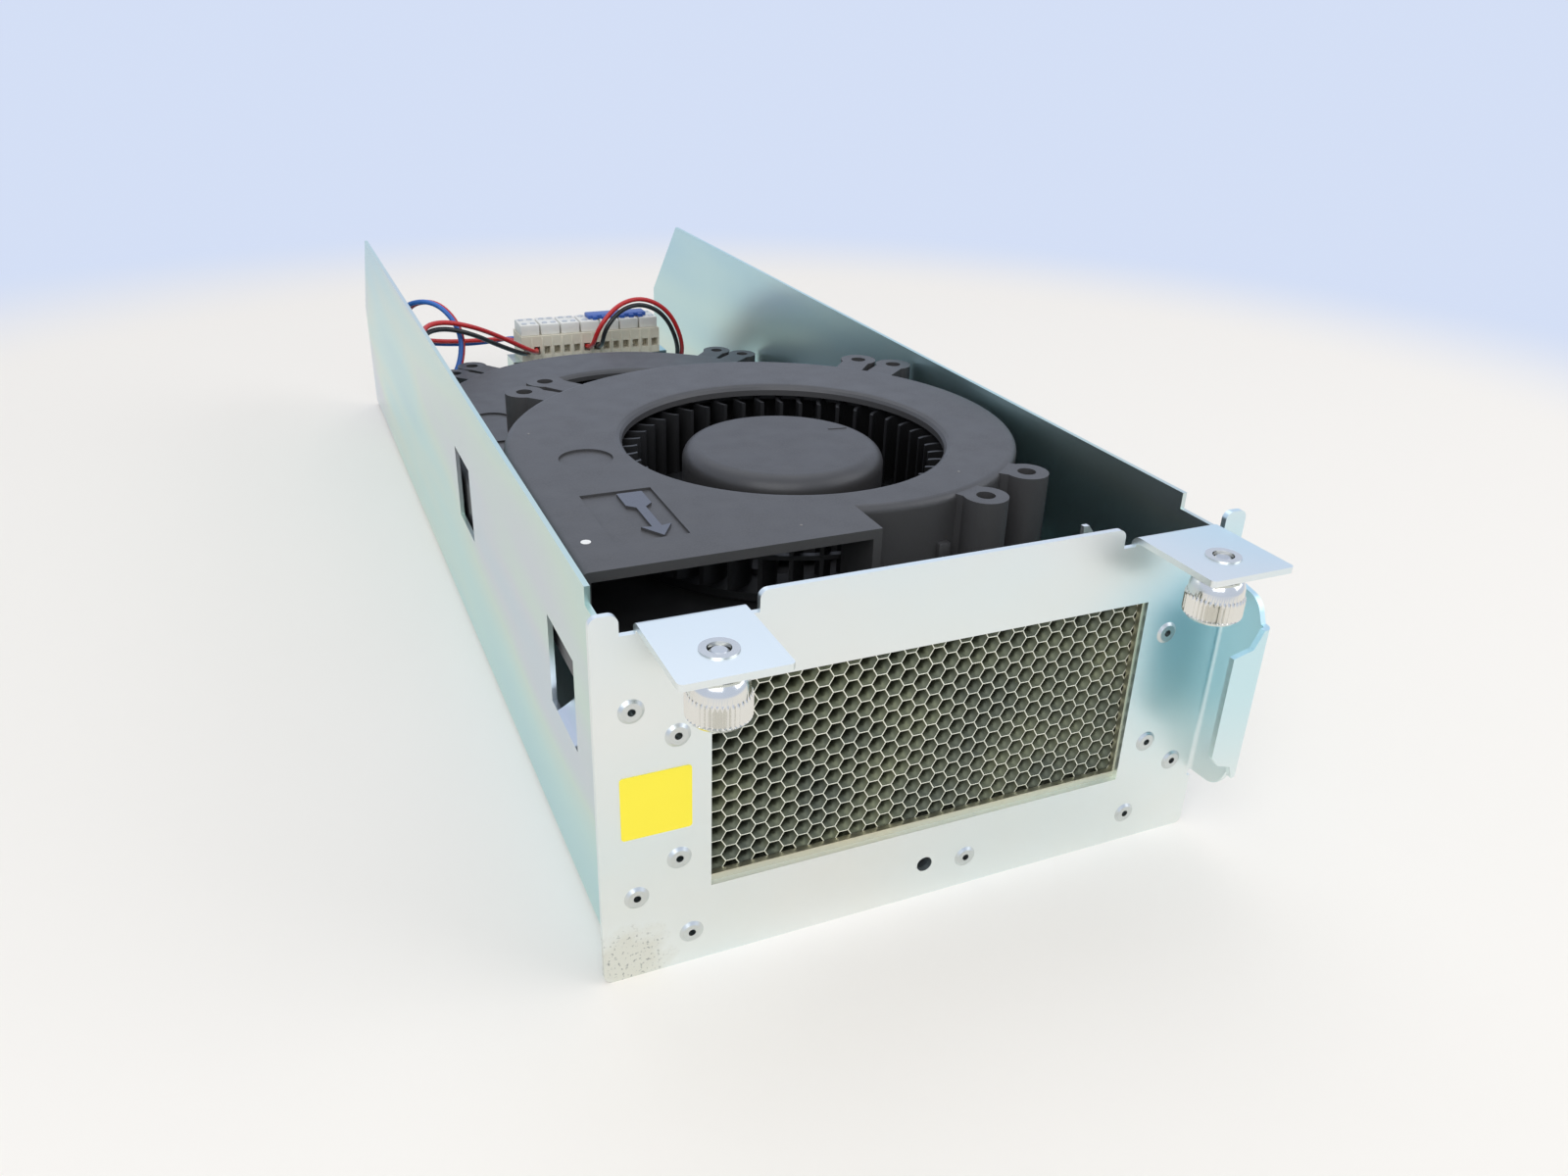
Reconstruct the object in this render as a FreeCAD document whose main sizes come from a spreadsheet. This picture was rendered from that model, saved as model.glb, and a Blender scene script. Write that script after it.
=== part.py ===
import FreeCAD, Part
import math
import os

import Sketcher

# Server fan module: an open sheet-metal tray with a riveted front panel, a honeycomb vent, two
# stacked centrifugal blowers on standoffs, two captive thumbscrews and a terminal block.
# Millimetres. +X to the right seen from the front, +Y towards the rear, +Z up. The origin is the
# middle of the tray's underside.

DIMENSIONS = [
    # tray
    ("tray_length", 355.0, "front edge to rear edge"),
    ("tray_width", 124.0, "over the walls"),
    ("wall_height", 73.0, "underside to the top of the walls"),
    ("tray_sheet", 1.0, "sheet thickness of the tray"),
    ("bend_radius", 1.0, "inside radius of the sheet-metal bends"),
    ("wall_step_drop", 3.4, "how far the front of each wall is stepped down"),
    ("wall_step_run", 12.1, "length of that step"),
    ("tail_cut_run", 31.0, "diagonal cut of the rear top corners, along Y"),
    ("tail_cut_drop", 31.5, "the same cut, along Z"),
    ("side_flange_width", 7.5, "front flanges, from the outside of the walls"),
    ("side_flange_low", 3.0, "bottom of the side flanges"),
    ("side_flange_high", 66.0, "top of the side flanges"),
    ("floor_flange_height", 11.5, "upturned front edge of the floor"),
    ("floor_flange_inset", 8.0, "its ends from the outside of the walls"),
    ("side_window", 19.3, "square window in the left wall"),
    ("side_window_low", 34.0, "its sill"),
    ("side_window_front", 22.8, "its front edge, from the tray's front"),
    ("side_window_pitch", 100.0, "from the front window to the rear one"),
    ("scoop_reach", 5.0, "how far the scoop under the front window reaches in"),
    # front panel
    ("panel_overhang", 3.0, "panel beyond the outside of the tray's walls"),
    ("panel_height", 74.1, "to the top of the tongue and the ears"),
    ("panel_sheet", 1.2, "sheet thickness of the panel"),
    ("panel_corner", 1.6, "corner radius of the panel"),
    ("notch_bottom", 70.2, "height of the notches beside the tabs"),
    ("notch_width", 2.65, "width of the notches beside the tabs"),
    ("tab_inset", 16.7, "tab centre from the panel's side edge"),
    ("tab_width", 18.4, "width of each tab"),
    ("tab_reach", 20.5, "tab length in front of the panel"),
    ("tab_top", 72.3, "height of the tab's upper face"),
    ("tab_bend", 0.8, "inside radius of the tab's bend"),
    ("screw_reach", 12.5, "thumbscrew axis in front of the panel"),
    ("window_half", 44.7, "half width of the vent window"),
    ("window_low", 16.4, "bottom of the vent window"),
    ("window_high", 57.7, "top of the vent window"),
    ("handle_low", 14.2, "bottom of the pull handle"),
    ("handle_high", 60.3, "top of the pull handle"),
    ("handle_reach", 12.2, "pull handle in front of the panel"),
    ("handle_side", 0.8, "outside of the handle beyond the panel's edge"),
    ("lip_width", 8.8, "finger lip, from the handle's outside"),
    ("lip_low", 20.0, "bottom of the lip at the bend"),
    ("lip_high", 54.0, "top of the lip at the bend"),
    ("relief", 1.7, "bend relief notches"),
    ("fixing_height", 7.7, "screw hole below the window"),
    ("fixing_radius", 1.65, "screw hole through the panel and the clinch nut"),
    ("label_side", 12.7, "square label"),
    ("label_inset", 4.0, "its left edge from the panel's edge"),
    ("label_low", 30.8, "its bottom edge"),
    # rivets
    ("rivet_head", 2.3, "radius"),
    ("rivet_shank", 1.2, "radius"),
    ("rivet_tail", 1.38, "radius"),
    ("rivet_mandrel", 0.7, "radius of the hole through the rivet"),
    ("wall_rivet_inset", 3.4, "rivet from the outside of the tray wall"),
    ("wall_rivet_low", 17.9, "height"),
    ("wall_rivet_high", 56.2, "height"),
    ("vent_rivet_inset", 6.0, "from the edge of the vent window"),
    ("vent_rivet_low", 24.4, "height"),
    ("vent_rivet_high", 49.9, "height"),
    ("floor_rivet_inset", 13.5, "from the outside of the tray wall"),
    ("middle_rivet_offset", 9.3, "from the middle"),
    ("floor_rivet_height", 6.9, "height"),
    # honeycomb vent
    ("vent_depth", 8.0, "depth of the vent frame"),
    ("vent_border", 3.3, "frame outside beyond the window"),
    ("vent_lip", 0.3, "frame inside the window at its top and sides"),
    ("vent_sill", 1.4, "frame inside the window along its bottom"),
    ("vent_wall", 1.8, "wall around the core"),
    ("core_cell", 6.35, "across the flats of one cell"),
    ("core_wall", 0.55, "wall between cells"),
    # captive thumbscrews
    ("ferrule_radius", 3.9, "barrel under the tab"),
    ("ferrule_length", 6.4, "barrel under the tab"),
    ("ferrule_bore", 3.15, "radius around the spring"),
    ("ferrule_lip", 0.8, "thickness of the end lips"),
    ("spigot_radius", 3.2, "in the tab's hole"),
    ("screw_radius", 1.75, "threaded shank"),
    ("neck_radius", 2.24, "below the flange"),
    ("knob_radius", 5.4, "over the knurl"),
    ("knob_top", 2.7, "below the tab at rest"),
    ("knob_height", 8.0, "overall"),
    ("knob_base", 2.2, "thickness of the closed end"),
    ("knurl_depth", 0.35, "depth of the flutes"),
    ("knurl_height", 4.2, "length of the flutes"),
    # blowers
    ("blower_size", 120.0, "square envelope"),
    ("blower_height", 25.4, "overall"),
    ("blower_pitch", 111.0, "upper blower to lower blower, along Y"),
    ("blower_gap", 1.0, "left side of the blowers to the tray's wall"),
    ("blower_front", 22.3, "upper outlet from the tray's front"),
    ("upper_level", 44.9, "underside of the upper blower"),
    ("lower_level", 18.8, "underside of the lower blower"),
    ("shell_wall", 1.8, "moulded wall"),
    ("shell_floor", 2.0, "moulded floor and roof"),
    ("outlet_width", 58.5, "outside of the outlet duct"),
    ("cutoff_set_back", 10.0, "housing beside the outlet, behind its face"),
    ("hub_x", 2.7, "impeller axis from the middle"),
    ("hub_y", 56.7, "impeller axis behind the outlet face"),
    ("inlet_radius", 36.8, "inlet throat"),
    ("ear_radius", 4.75, "mounting ears"),
    ("ear_bore", 2.0, "radius of the holes in the ears"),
    ("fan_radius", 43.0, "outside of the blades"),
    ("blade_inner", 33.0, "inside of the blades"),
    ("blade_thickness", 0.9, "moulded blade"),
    ("cap_radius", 23.2, "hub cap"),
    ("cap_drop", 2.6, "hub cap below the cover"),
    ("cap_wall", 1.7, "wall of the hub cap"),
    ("cap_round", 3.6, "rounded rim of the hub cap"),
    ("arrow_inset", 9.0, "arrow recess from the cover's left side"),
    ("arrow_front", 10.2, "arrow recess behind the outlet face"),
    ("arrow_field", 14.6, "width of the arrow recess"),
    ("arrow_length", 24.3, "length of the arrow recess"),
    ("dial_inset", 15.9, "centre of the round recess from the left side"),
    ("dial_front", 54.9, "centre of the round recess behind the outlet face"),
    ("dial_radius", 5.8, "round recess"),
    ("recess_depth", 0.5, "both recesses"),
    ("shaft_radius", 1.5, "motor shaft"),
    ("bearing_radius", 4.0, "outside of the ball bearings"),
    ("bearing_width", 4.0, "each bearing"),
    ("running_fit", 0.03, "radial clearance of the shaft in its bearings"),
    ("seat_fit", 0.02, "radial clearance of seated round pieces"),
    # standoffs and floor screws
    ("standoff_corner", 3.4, "radius over the hexagon's corners"),
    ("stud_radius", 1.9, "stud in the blower's ear"),
    ("stud_length", 8.0, "stud in the blower's ear"),
    ("floor_screw_radius", 1.5, "shank"),
    ("floor_screw_head", 2.9, "countersunk head"),
    # terminal block
    ("block_front", 283.8, "face of the terminal block, from the tray's front"),
    ("block_left", -14.0, "left end of the terminal block"),
    ("block_width", 54.0, "fourteen poles"),
    ("block_depth", 14.0, "along Y"),
    ("block_low", 33.0, "underside"),
    ("block_height", 9.5, "moulding"),
    ("cap_row_height", 4.0, "clamp covers on the moulding"),
    ("bracket_sheet", 1.2, "sheet of the block's bracket"),
    ("bracket_foot", 8.0, "foot of the block's bracket"),
    # wiring
    ("wire_radius", 0.85, "insulated lead"),
]

doc = FreeCAD.newDocument("server_fan_module")
sheet = doc.addObject("Spreadsheet::Sheet", "Sizes")


class Length:
    """A size together with the spreadsheet expression that drives it."""

    def __init__(self, value, text):
        self.value = float(value)
        self.text = text

    def joined(self, sign, other, value):
        text = other.text if isinstance(other, Length) else repr(float(other))
        return Length(value, "(%s %s %s)" % (self.text, sign, text))

    def __add__(self, other):
        return self.joined("+", other, self.value + float(other))

    def __sub__(self, other):
        return self.joined("-", other, self.value - float(other))

    def __mul__(self, other):
        return self.joined("*", other, self.value * float(other))

    def __truediv__(self, other):
        return self.joined("/", other, self.value / float(other))

    def __radd__(self, other):
        return self + other

    def __rsub__(self, other):
        return -self + other

    def __rmul__(self, other):
        return self * other

    def __neg__(self):
        return Length(-self.value, "(-1 * %s)" % self.text)

    def __float__(self):
        return self.value


class SizeTable:
    """The driving dimensions, written to the spreadsheet and read by name."""

    def __init__(self, rows):
        for row, (alias, value, remark) in enumerate(rows, 1):
            sheet.set("A%d" % row, alias)
            sheet.set("B%d" % row, str(value))
            sheet.setAlias("B%d" % row, alias)
            sheet.set("C%d" % row, remark)
            setattr(self, alias, Length(value, "Sizes." + alias))


S = SizeTable(DIMENSIONS)
doc.recompute()


# ---------------------------------------------------------------- building blocks

def bind(thing, prop, length):
    """Sets a property and ties it to the spreadsheet where the length comes from there."""
    if isinstance(length, Length):
        thing.setExpression(prop, length.text)
    elif prop.isalpha():
        setattr(thing, prop, length)


def place(thing, x=0.0, y=0.0, z=0.0, rotation=None):
    """Puts a piece at a point, with the point tied to the spreadsheet."""
    turn = rotation if rotation is not None else FreeCAD.Rotation()
    thing.Placement = FreeCAD.Placement(FreeCAD.Vector(float(x), float(y), float(z)), turn)
    for axis, length in (("x", x), ("y", y), ("z", z)):
        bind(thing, "Placement.Base." + axis, length)
    return thing


def new_body(label, x=0.0, y=0.0, z=0.0):
    body = doc.addObject("PartDesign::Body", label)
    body.Label = label
    return place(body, x, y, z)


def new_sketch(body, plane, offset=None):
    """A sketch on one of the body's own planes, moved along its normal by offset."""
    sketch = body.newObject("Sketcher::SketchObject", body.Name + "Sketch")
    support = [item for item in body.Origin.OriginFeatures if item.Role == plane + "_Plane"][0]
    sketch.AttachmentSupport = (support, [""])
    sketch.MapMode = "FlatFace"
    if offset is not None:
        sketch.AttachmentOffset = FreeCAD.Placement(
            FreeCAD.Vector(0, 0, float(offset)), FreeCAD.Rotation())
        bind(sketch, "AttachmentOffset.Base.z", offset)
    return sketch


def hold_point(sketch, edge, end, x, y):
    """Constrains one point of a sketch edge to its two coordinates."""
    for kind, length, axis in (("DistanceX", x, -2), ("DistanceY", y, -1)):
        if abs(float(length)) < 1e-9:
            sketch.addConstraint(Sketcher.Constraint("PointOnObject", edge, end, axis))
            continue
        row = sketch.addConstraint(Sketcher.Constraint(kind, -1, 1, edge, end, float(length)))
        bind(sketch, "Constraints[%d]" % row, length)


def draw_outline(sketch, points):
    """A closed outline of straight edges whose corners follow the spreadsheet."""
    first = sketch.GeometryCount
    count = len(points)
    for index, (x, y) in enumerate(points):
        end_x, end_y = points[(index + 1) % count]
        sketch.addGeometry(Part.LineSegment(
            FreeCAD.Vector(float(x), float(y), 0),
            FreeCAD.Vector(float(end_x), float(end_y), 0)), False)
    for index in range(count):
        sketch.addConstraint(Sketcher.Constraint(
            "Coincident", first + index, 2, first + (index + 1) % count, 1))
    for index, (x, y) in enumerate(points):
        hold_point(sketch, first + index, 1, x, y)


def draw_rectangle(sketch, x0, x1, y0, y1):
    draw_outline(sketch, [(x0, y0), (x1, y0), (x1, y1), (x0, y1)])


def draw_circle(sketch, x, y, radius):
    edge = sketch.addGeometry(Part.Circle(
        FreeCAD.Vector(float(x), float(y), 0), FreeCAD.Vector(0, 0, 1), float(radius)), False)
    hold_point(sketch, edge, 3, x, y)
    row = sketch.addConstraint(Sketcher.Constraint("Radius", edge, float(radius)))
    bind(sketch, "Constraints[%d]" % row, radius)


def draw_wire(sketch, wire):
    """Lines and arcs of a ready wire, as sketch geometry."""
    for edge in wire.Edges:
        curve = edge.Curve
        if isinstance(curve, Part.Line):
            sketch.addGeometry(Part.LineSegment(edge.Vertexes[0].Point, edge.Vertexes[-1].Point),
                               False)
        else:
            middle = edge.valueAt((edge.FirstParameter + edge.LastParameter) / 2)
            sketch.addGeometry(Part.Arc(edge.valueAt(edge.FirstParameter), middle,
                                        edge.valueAt(edge.LastParameter)), False)


def pad(body, sketch, length, back=False):
    feature = body.newObject("PartDesign::Pad", body.Name + "Pad")
    feature.Profile = sketch
    feature.Reversed = back
    feature.Length = float(length)
    bind(feature, "Length", length)
    return feature


def pocket(body, sketch, length, back=False, both=False):
    feature = body.newObject("PartDesign::Pocket", body.Name + "Pocket")
    feature.Profile = sketch
    feature.Reversed = back
    feature.Length = float(length)
    bind(feature, "Length", length)
    if both:
        feature.SideType = "Symmetric"
    return feature


def edge_along(axis, **where):
    """Picks straight edges parallel to an axis whose middle has the given coordinates."""
    direction = {"x": FreeCAD.Vector(1, 0, 0), "y": FreeCAD.Vector(0, 1, 0),
                 "z": FreeCAD.Vector(0, 0, 1)}[axis]

    def chosen(edge):
        if not isinstance(edge.Curve, Part.Line):
            return False
        if abs(abs(edge.Curve.Direction.dot(direction)) - 1) > 1e-6:
            return False
        middle = (edge.Vertexes[0].Point + edge.Vertexes[-1].Point) / 2
        return all(abs(getattr(middle, name) - float(value)) < 1e-4
                   for name, value in where.items())
    return chosen


def round_edges(body, radius, *tests):
    """Fillets the edges of the body's last feature that pass any of the tests."""
    doc.recompute()
    tip = body.Tip
    names = ["Edge%d" % (number + 1) for number, edge in enumerate(tip.Shape.Edges)
             if any(test(edge) for test in tests)]
    fillet = body.newObject("PartDesign::Fillet", body.Name + "Fillet")
    fillet.Base = (tip, names)
    fillet.Radius = float(radius)
    bind(fillet, "Radius", radius)
    return fillet


def turned(label, profile, x=0.0, y=0.0, z=0.0, axis="Z"):
    """A turned piece: the profile's points are (radius, height along the axis)."""
    body = new_body(label, x, y, z)
    sketch = new_sketch(body, "XZ" if axis == "Z" else "XY")
    draw_outline(sketch, profile)
    spin = body.newObject("PartDesign::Revolution", label + "Turn")
    spin.Profile = sketch
    spin.ReferenceAxis = (sketch, ["V_Axis"])
    spin.Angle = 360
    return body


def box(label, x0, x1, y0, y1, z0, z1):
    made = doc.addObject("Part::Box", label)
    made.Label = label
    for prop, low, high in (("Length", x0, x1), ("Width", y0, y1), ("Height", z0, z1)):
        setattr(made, prop, float(high) - float(low))
        bind(made, prop, high - low)
    return place(made, x0, y0, z0)


def rod(label, radius, length, x, y, z, axis="Z"):
    made = doc.addObject("Part::Cylinder", label)
    made.Label = label
    made.Radius = float(radius)
    made.Height = float(length)
    bind(made, "Radius", radius)
    bind(made, "Height", length)
    turn = {"Z": FreeCAD.Rotation(), "Y": FreeCAD.Rotation(FreeCAD.Vector(1, 0, 0), -90),
            "X": FreeCAD.Rotation(FreeCAD.Vector(0, 1, 0), 90)}[axis]
    return place(made, x, y, z, turn)


def hexagon(label, corner, length, x, y, z):
    made = doc.addObject("Part::Prism", label)
    made.Label = label
    made.Polygon = 6
    made.Circumradius = float(corner)
    made.Height = float(length)
    bind(made, "Circumradius", corner)
    bind(made, "Height", length)
    return place(made, x, y, z)


def fused(label, pieces):
    made = doc.addObject("Part::MultiFuse", label)
    made.Label = label
    made.Shapes = pieces
    return made


def cut(label, base, tools):
    tool = tools[0] if len(tools) == 1 else fused(label + "_tools", tools)
    made = doc.addObject("Part::Cut", label)
    made.Label = label
    made.Base = base
    made.Tool = tool
    return made


def group(label, pieces):
    """Separate solids that share one node."""
    made = doc.addObject("Part::Compound", label)
    made.Label = label
    made.Links = pieces
    return made


def feature(label, shape, x=0.0, y=0.0, z=0.0):
    made = doc.addObject("Part::Feature", label)
    made.Label = label
    made.Shape = shape
    return place(made, x, y, z)


def copies(label, master, places):
    """The master's solid repeated at each (x, y, z) offset, as separate solids of one node."""
    doc.recompute()
    solids = [master.Shape.translated(FreeCAD.Vector(*map(float, spot))) for spot in places]
    return feature(label, Part.makeCompound(solids))


def face_of(edges):
    return Part.Face(Part.Wire(edges))


def prism(face, z0, z1):
    return face.translated(FreeCAD.Vector(0, 0, z0)).extrude(FreeCAD.Vector(0, 0, z1 - z0))


def tube(outer, inner, z0, z1, x=0.0, y=0.0):
    base = FreeCAD.Vector(x, y, z0)
    return Part.makeCylinder(outer, z1 - z0, base).cut(Part.makeCylinder(inner, z1 - z0, base))


def revolved(points):
    """A solid ring turned about Z from (radius, height) points."""
    wire = Part.makePolygon([FreeCAD.Vector(r, 0, z) for r, z in points + points[:1]])
    return Part.Face(wire).revolve(FreeCAD.Vector(0, 0, 0), FreeCAD.Vector(0, 0, 1), 360)


FRONT = -S.tray_length / 2                   # front edge of the tray, back face of the panel
FACE = FRONT - S.panel_sheet                 # front face of the panel
PANEL_HALF = S.tray_width / 2 + S.panel_overhang
TAB_OFFSET = PANEL_HALF - S.tab_inset        # tab centre from the middle
MIRROR = (-1, 1)


# ---------------------------------------------------------------- tray

def make_tray(stud_points):
    half = S.tray_width / 2
    sheet_t = S.tray_sheet
    tray = new_body("tray", 0.0, FRONT, 0.0)
    section = new_sketch(tray, "XZ")
    draw_outline(section, [
        (-half, 0.0), (half, 0.0), (half, S.wall_height), (half - sheet_t, S.wall_height),
        (half - sheet_t, sheet_t), (sheet_t - half, sheet_t), (sheet_t - half, S.wall_height),
        (-half, S.wall_height)])
    pad(tray, section, S.tray_length, back=True)
    flanges = new_sketch(tray, "XZ")
    edge = half - S.side_flange_width
    draw_rectangle(flanges, edge, half, S.side_flange_low, S.side_flange_high)
    draw_rectangle(flanges, -half, -edge, S.side_flange_low, S.side_flange_high)
    pad(tray, flanges, sheet_t, back=True)
    upturn = new_sketch(tray, "XZ")
    inset_half = half - S.floor_flange_inset
    draw_rectangle(upturn, -inset_half, inset_half, 0.0, S.floor_flange_height)
    pad(tray, upturn, sheet_t, back=True)
    corner = new_sketch(tray, "XZ")
    for sign in MIRROR:
        near = sign * inset_half
        far = sign * (half + 1.0)
        low, high = (near, far) if sign > 0 else (far, near)
        draw_rectangle(corner, low, high, -1.0, S.side_flange_low)
    pocket(tray, corner, S.bend_radius + sheet_t * 2)
    inner = S.bend_radius
    outer = S.bend_radius + sheet_t
    edge_x = half - sheet_t
    round_edges(
        tray, outer, edge_along("y", x=half, z=0), edge_along("y", x=-half, z=0),
        edge_along("z", x=half, y=0), edge_along("z", x=-half, y=0),
        edge_along("x", y=0, z=0))
    round_edges(
        tray, inner, edge_along("y", x=edge_x, z=sheet_t), edge_along("y", x=-edge_x, z=sheet_t),
        edge_along("z", x=edge_x, y=sheet_t), edge_along("z", x=-edge_x, y=sheet_t),
        edge_along("x", y=sheet_t, z=sheet_t))
    trim = new_sketch(tray, "YZ")
    draw_rectangle(trim, -1.0, S.wall_step_run, S.wall_height - S.wall_step_drop,
                   S.wall_height + 1.0)
    tail = S.tray_length - S.tail_cut_run
    draw_outline(trim, [
        (tail, S.wall_height), (S.tray_length, S.wall_height - S.tail_cut_drop),
        (S.tray_length + 1.0, S.wall_height - S.tail_cut_drop),
        (S.tray_length + 1.0, S.wall_height + 1.0), (tail, S.wall_height + 1.0)])
    pocket(tray, trim, S.tray_width * 2, both=True)
    windows = new_sketch(tray, "YZ")
    sill = S.side_window_low
    for start in (S.side_window_front, S.side_window_front + S.side_window_pitch):
        draw_rectangle(windows, start, start + S.side_window, sill, sill + S.side_window)
    pocket(tray, windows, S.tray_width)
    scoop = new_sketch(tray, "XZ", -(S.side_window_front + 2.0))
    reach = half - sheet_t - S.scoop_reach
    draw_outline(scoop, [
        (-half, sill - 0.5), (sheet_t - half, sill - 0.5), (-reach, sill + 2.6),
        (-reach, sill + 3.6), (sheet_t - half, sill + 0.5), (-half, sill)])
    pad(tray, scoop, S.side_window - 6.0, back=True)
    holes = new_sketch(tray, "XZ")
    for x, z in rivet_points():
        draw_circle(holes, x, z, S.rivet_shank + 0.05)
    draw_circle(holes, 0.0, S.fixing_height, S.fixing_radius + 0.8)
    pocket(tray, holes, sheet_t * 2)
    floor_holes = new_sketch(tray, "XY")
    for x, y in stud_points:
        draw_circle(floor_holes, x, y - FRONT, S.floor_screw_radius + 0.2)
    pocket(tray, floor_holes, sheet_t * 2, back=True)
    sinks = [countersink(x, y, S.floor_screw_head + 0.1) for x, y in stud_points]
    made = cut("tray_finished", tray, sinks)
    tray.Label = "tray_sheet_metal"
    made.Label = "tray"
    return made


def countersink(x, y, radius):
    """The conical seat of one floor screw in the tray."""
    cone = doc.addObject("Part::Cone", "countersink")
    cone.Radius1 = float(radius)
    cone.Radius2 = float(S.floor_screw_radius) + 0.2
    cone.Height = float(S.tray_sheet)
    bind(cone, "Radius1", radius)
    bind(cone, "Radius2", S.floor_screw_radius + 0.2)
    bind(cone, "Height", S.tray_sheet)
    return place(cone, x, y, 0.0)


def rivet_points():
    """Centres of the rivets in the tray's front flanges, as (x, z)."""
    wall_x = S.tray_width / 2 - S.wall_rivet_inset
    spots = [(sign * wall_x, z) for sign in MIRROR for z in (S.wall_rivet_low, S.wall_rivet_high)]
    spots += [(sign * (wall_x + S.wall_rivet_inset - S.floor_rivet_inset),
               S.floor_rivet_height) for sign in MIRROR]
    spots.append((S.middle_rivet_offset, S.floor_rivet_height))
    return spots


def vent_rivet_points():
    """Centres of the rivets that hold the vent frame, as (x, z)."""
    return [(sign * (S.window_half + S.vent_rivet_inset), z) for sign in MIRROR
            for z in (S.vent_rivet_low, S.vent_rivet_high)]


# ---------------------------------------------------------------- front panel

def make_front_panel():
    half = PANEL_HALF
    sheet_t = S.panel_sheet
    ear = TAB_OFFSET + S.tab_width / 2 + S.notch_width
    tongue = TAB_OFFSET - S.tab_width / 2 - S.notch_width
    handle_x = half + S.handle_side
    slot = half - S.relief / 2
    panel = new_body("front_panel", 0.0, FRONT, 0.0)
    outline = new_sketch(panel, "XZ")
    draw_outline(outline, [
        (-half, 0.0), (half, 0.0), (half, S.handle_low - S.relief),
        (slot, S.handle_low - S.relief), (slot, S.handle_low), (handle_x, S.handle_low),
        (handle_x, S.handle_high), (slot, S.handle_high), (slot, S.handle_high + S.relief),
        (half, S.handle_high + S.relief), (half, S.panel_height), (ear, S.panel_height),
        (ear, S.notch_bottom), (tongue, S.notch_bottom), (tongue, S.panel_height),
        (-tongue, S.panel_height), (-tongue, S.notch_bottom), (-ear, S.notch_bottom),
        (-ear, S.panel_height),
        (-half, S.panel_height)])
    pad(panel, outline, sheet_t)
    middle = -sheet_t / 2
    round_edges(panel, S.panel_corner, *[
        edge_along("y", x=x, z=z) for x, z in (
            (-half, 0), (half, 0), (half, S.panel_height), (ear, S.panel_height),
            (tongue, S.panel_height), (-tongue, S.panel_height),
            (-ear, S.panel_height), (-half, S.panel_height))])
    for sign in MIRROR:
        start = sign * TAB_OFFSET - S.tab_width / 2
        side = new_sketch(panel, "YZ", start)
        tip = -sheet_t - S.tab_reach
        root = S.notch_bottom - 1.0
        draw_outline(side, [
            (0.0, root), (0.0, S.tab_top), (tip, S.tab_top), (tip, S.tab_top - sheet_t),
            (-sheet_t, S.tab_top - sheet_t), (-sheet_t, root)])
        pad(panel, side, S.tab_width)
    round_edges(panel, S.tab_bend + sheet_t, *[
        edge_along("x", x=sign * TAB_OFFSET, y=0, z=S.tab_top) for sign in MIRROR])
    round_edges(panel, S.tab_bend, *[
        edge_along("x", x=sign * TAB_OFFSET, y=-sheet_t, z=S.tab_top - sheet_t)
        for sign in MIRROR])
    tab_end = -sheet_t - S.tab_reach
    round_edges(panel, S.bend_radius, *[
        edge_along("z", x=sign * TAB_OFFSET + side * S.tab_width / 2, y=tab_end)
        for sign in MIRROR for side in MIRROR])
    make_handle(panel, handle_x)
    openings = new_sketch(panel, "XZ")
    draw_rectangle(openings, -S.window_half, S.window_half, S.window_low, S.window_high)
    for x, z in rivet_points() + vent_rivet_points():
        draw_circle(openings, x, z, S.rivet_shank + 0.05)
    draw_circle(openings, 0.0, S.fixing_height, S.fixing_radius)
    pocket(panel, openings, sheet_t, back=True)
    screws = new_sketch(panel, "XY")
    for sign in MIRROR:
        draw_circle(screws, sign * TAB_OFFSET, -sheet_t - S.screw_reach,
                    S.spigot_radius + S.seat_fit)
    pocket(panel, screws, S.tab_top * 2, back=True)
    return panel


def make_handle(panel, handle_x):
    """The pull handle: a plate bent forward and a finger lip bent back across its front."""
    sheet_t = S.panel_sheet
    front = -sheet_t - S.handle_reach
    bend = S.bend_radius + sheet_t + 0.2
    low, high = S.lip_low, S.lip_high
    shoulder_y = front + S.handle_reach * 0.36
    plate = new_sketch(panel, "YZ", handle_x - sheet_t)
    draw_outline(plate, [
        (0.0, S.handle_low), (0.0, S.handle_high), (shoulder_y, S.handle_high - 1.8),
        (front + bend, high), (front, high), (front, low), (front + bend, low),
        (shoulder_y, S.handle_low + 0.4)])
    pad(panel, plate, sheet_t)
    round_edges(panel, S.panel_corner * 2.8,
                edge_along("x", y=shoulder_y, z=S.handle_high - 1.8),
                edge_along("x", y=shoulder_y, z=S.handle_low + 0.4))
    lip = new_sketch(panel, "XZ", -(front + sheet_t))
    inner = handle_x - S.lip_width
    draw_outline(lip, [
        (handle_x, low), (handle_x, high), (handle_x - bend, high),
        (inner + 4.6, high - 3.8), (inner, high - 5.0), (inner, low + 6.4),
        (inner + 1.9, low + 4.1), (inner + 5.5, low + 2.9), (handle_x - bend, low)])
    pad(panel, lip, sheet_t)
    round_edges(panel, S.bend_radius + sheet_t,
                edge_along("z", x=handle_x, y=0), edge_along("z", x=handle_x, y=front))
    round_edges(panel, S.bend_radius,
                edge_along("z", x=handle_x - sheet_t, y=-sheet_t),
                edge_along("z", x=handle_x - sheet_t, y=front + sheet_t))


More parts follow.
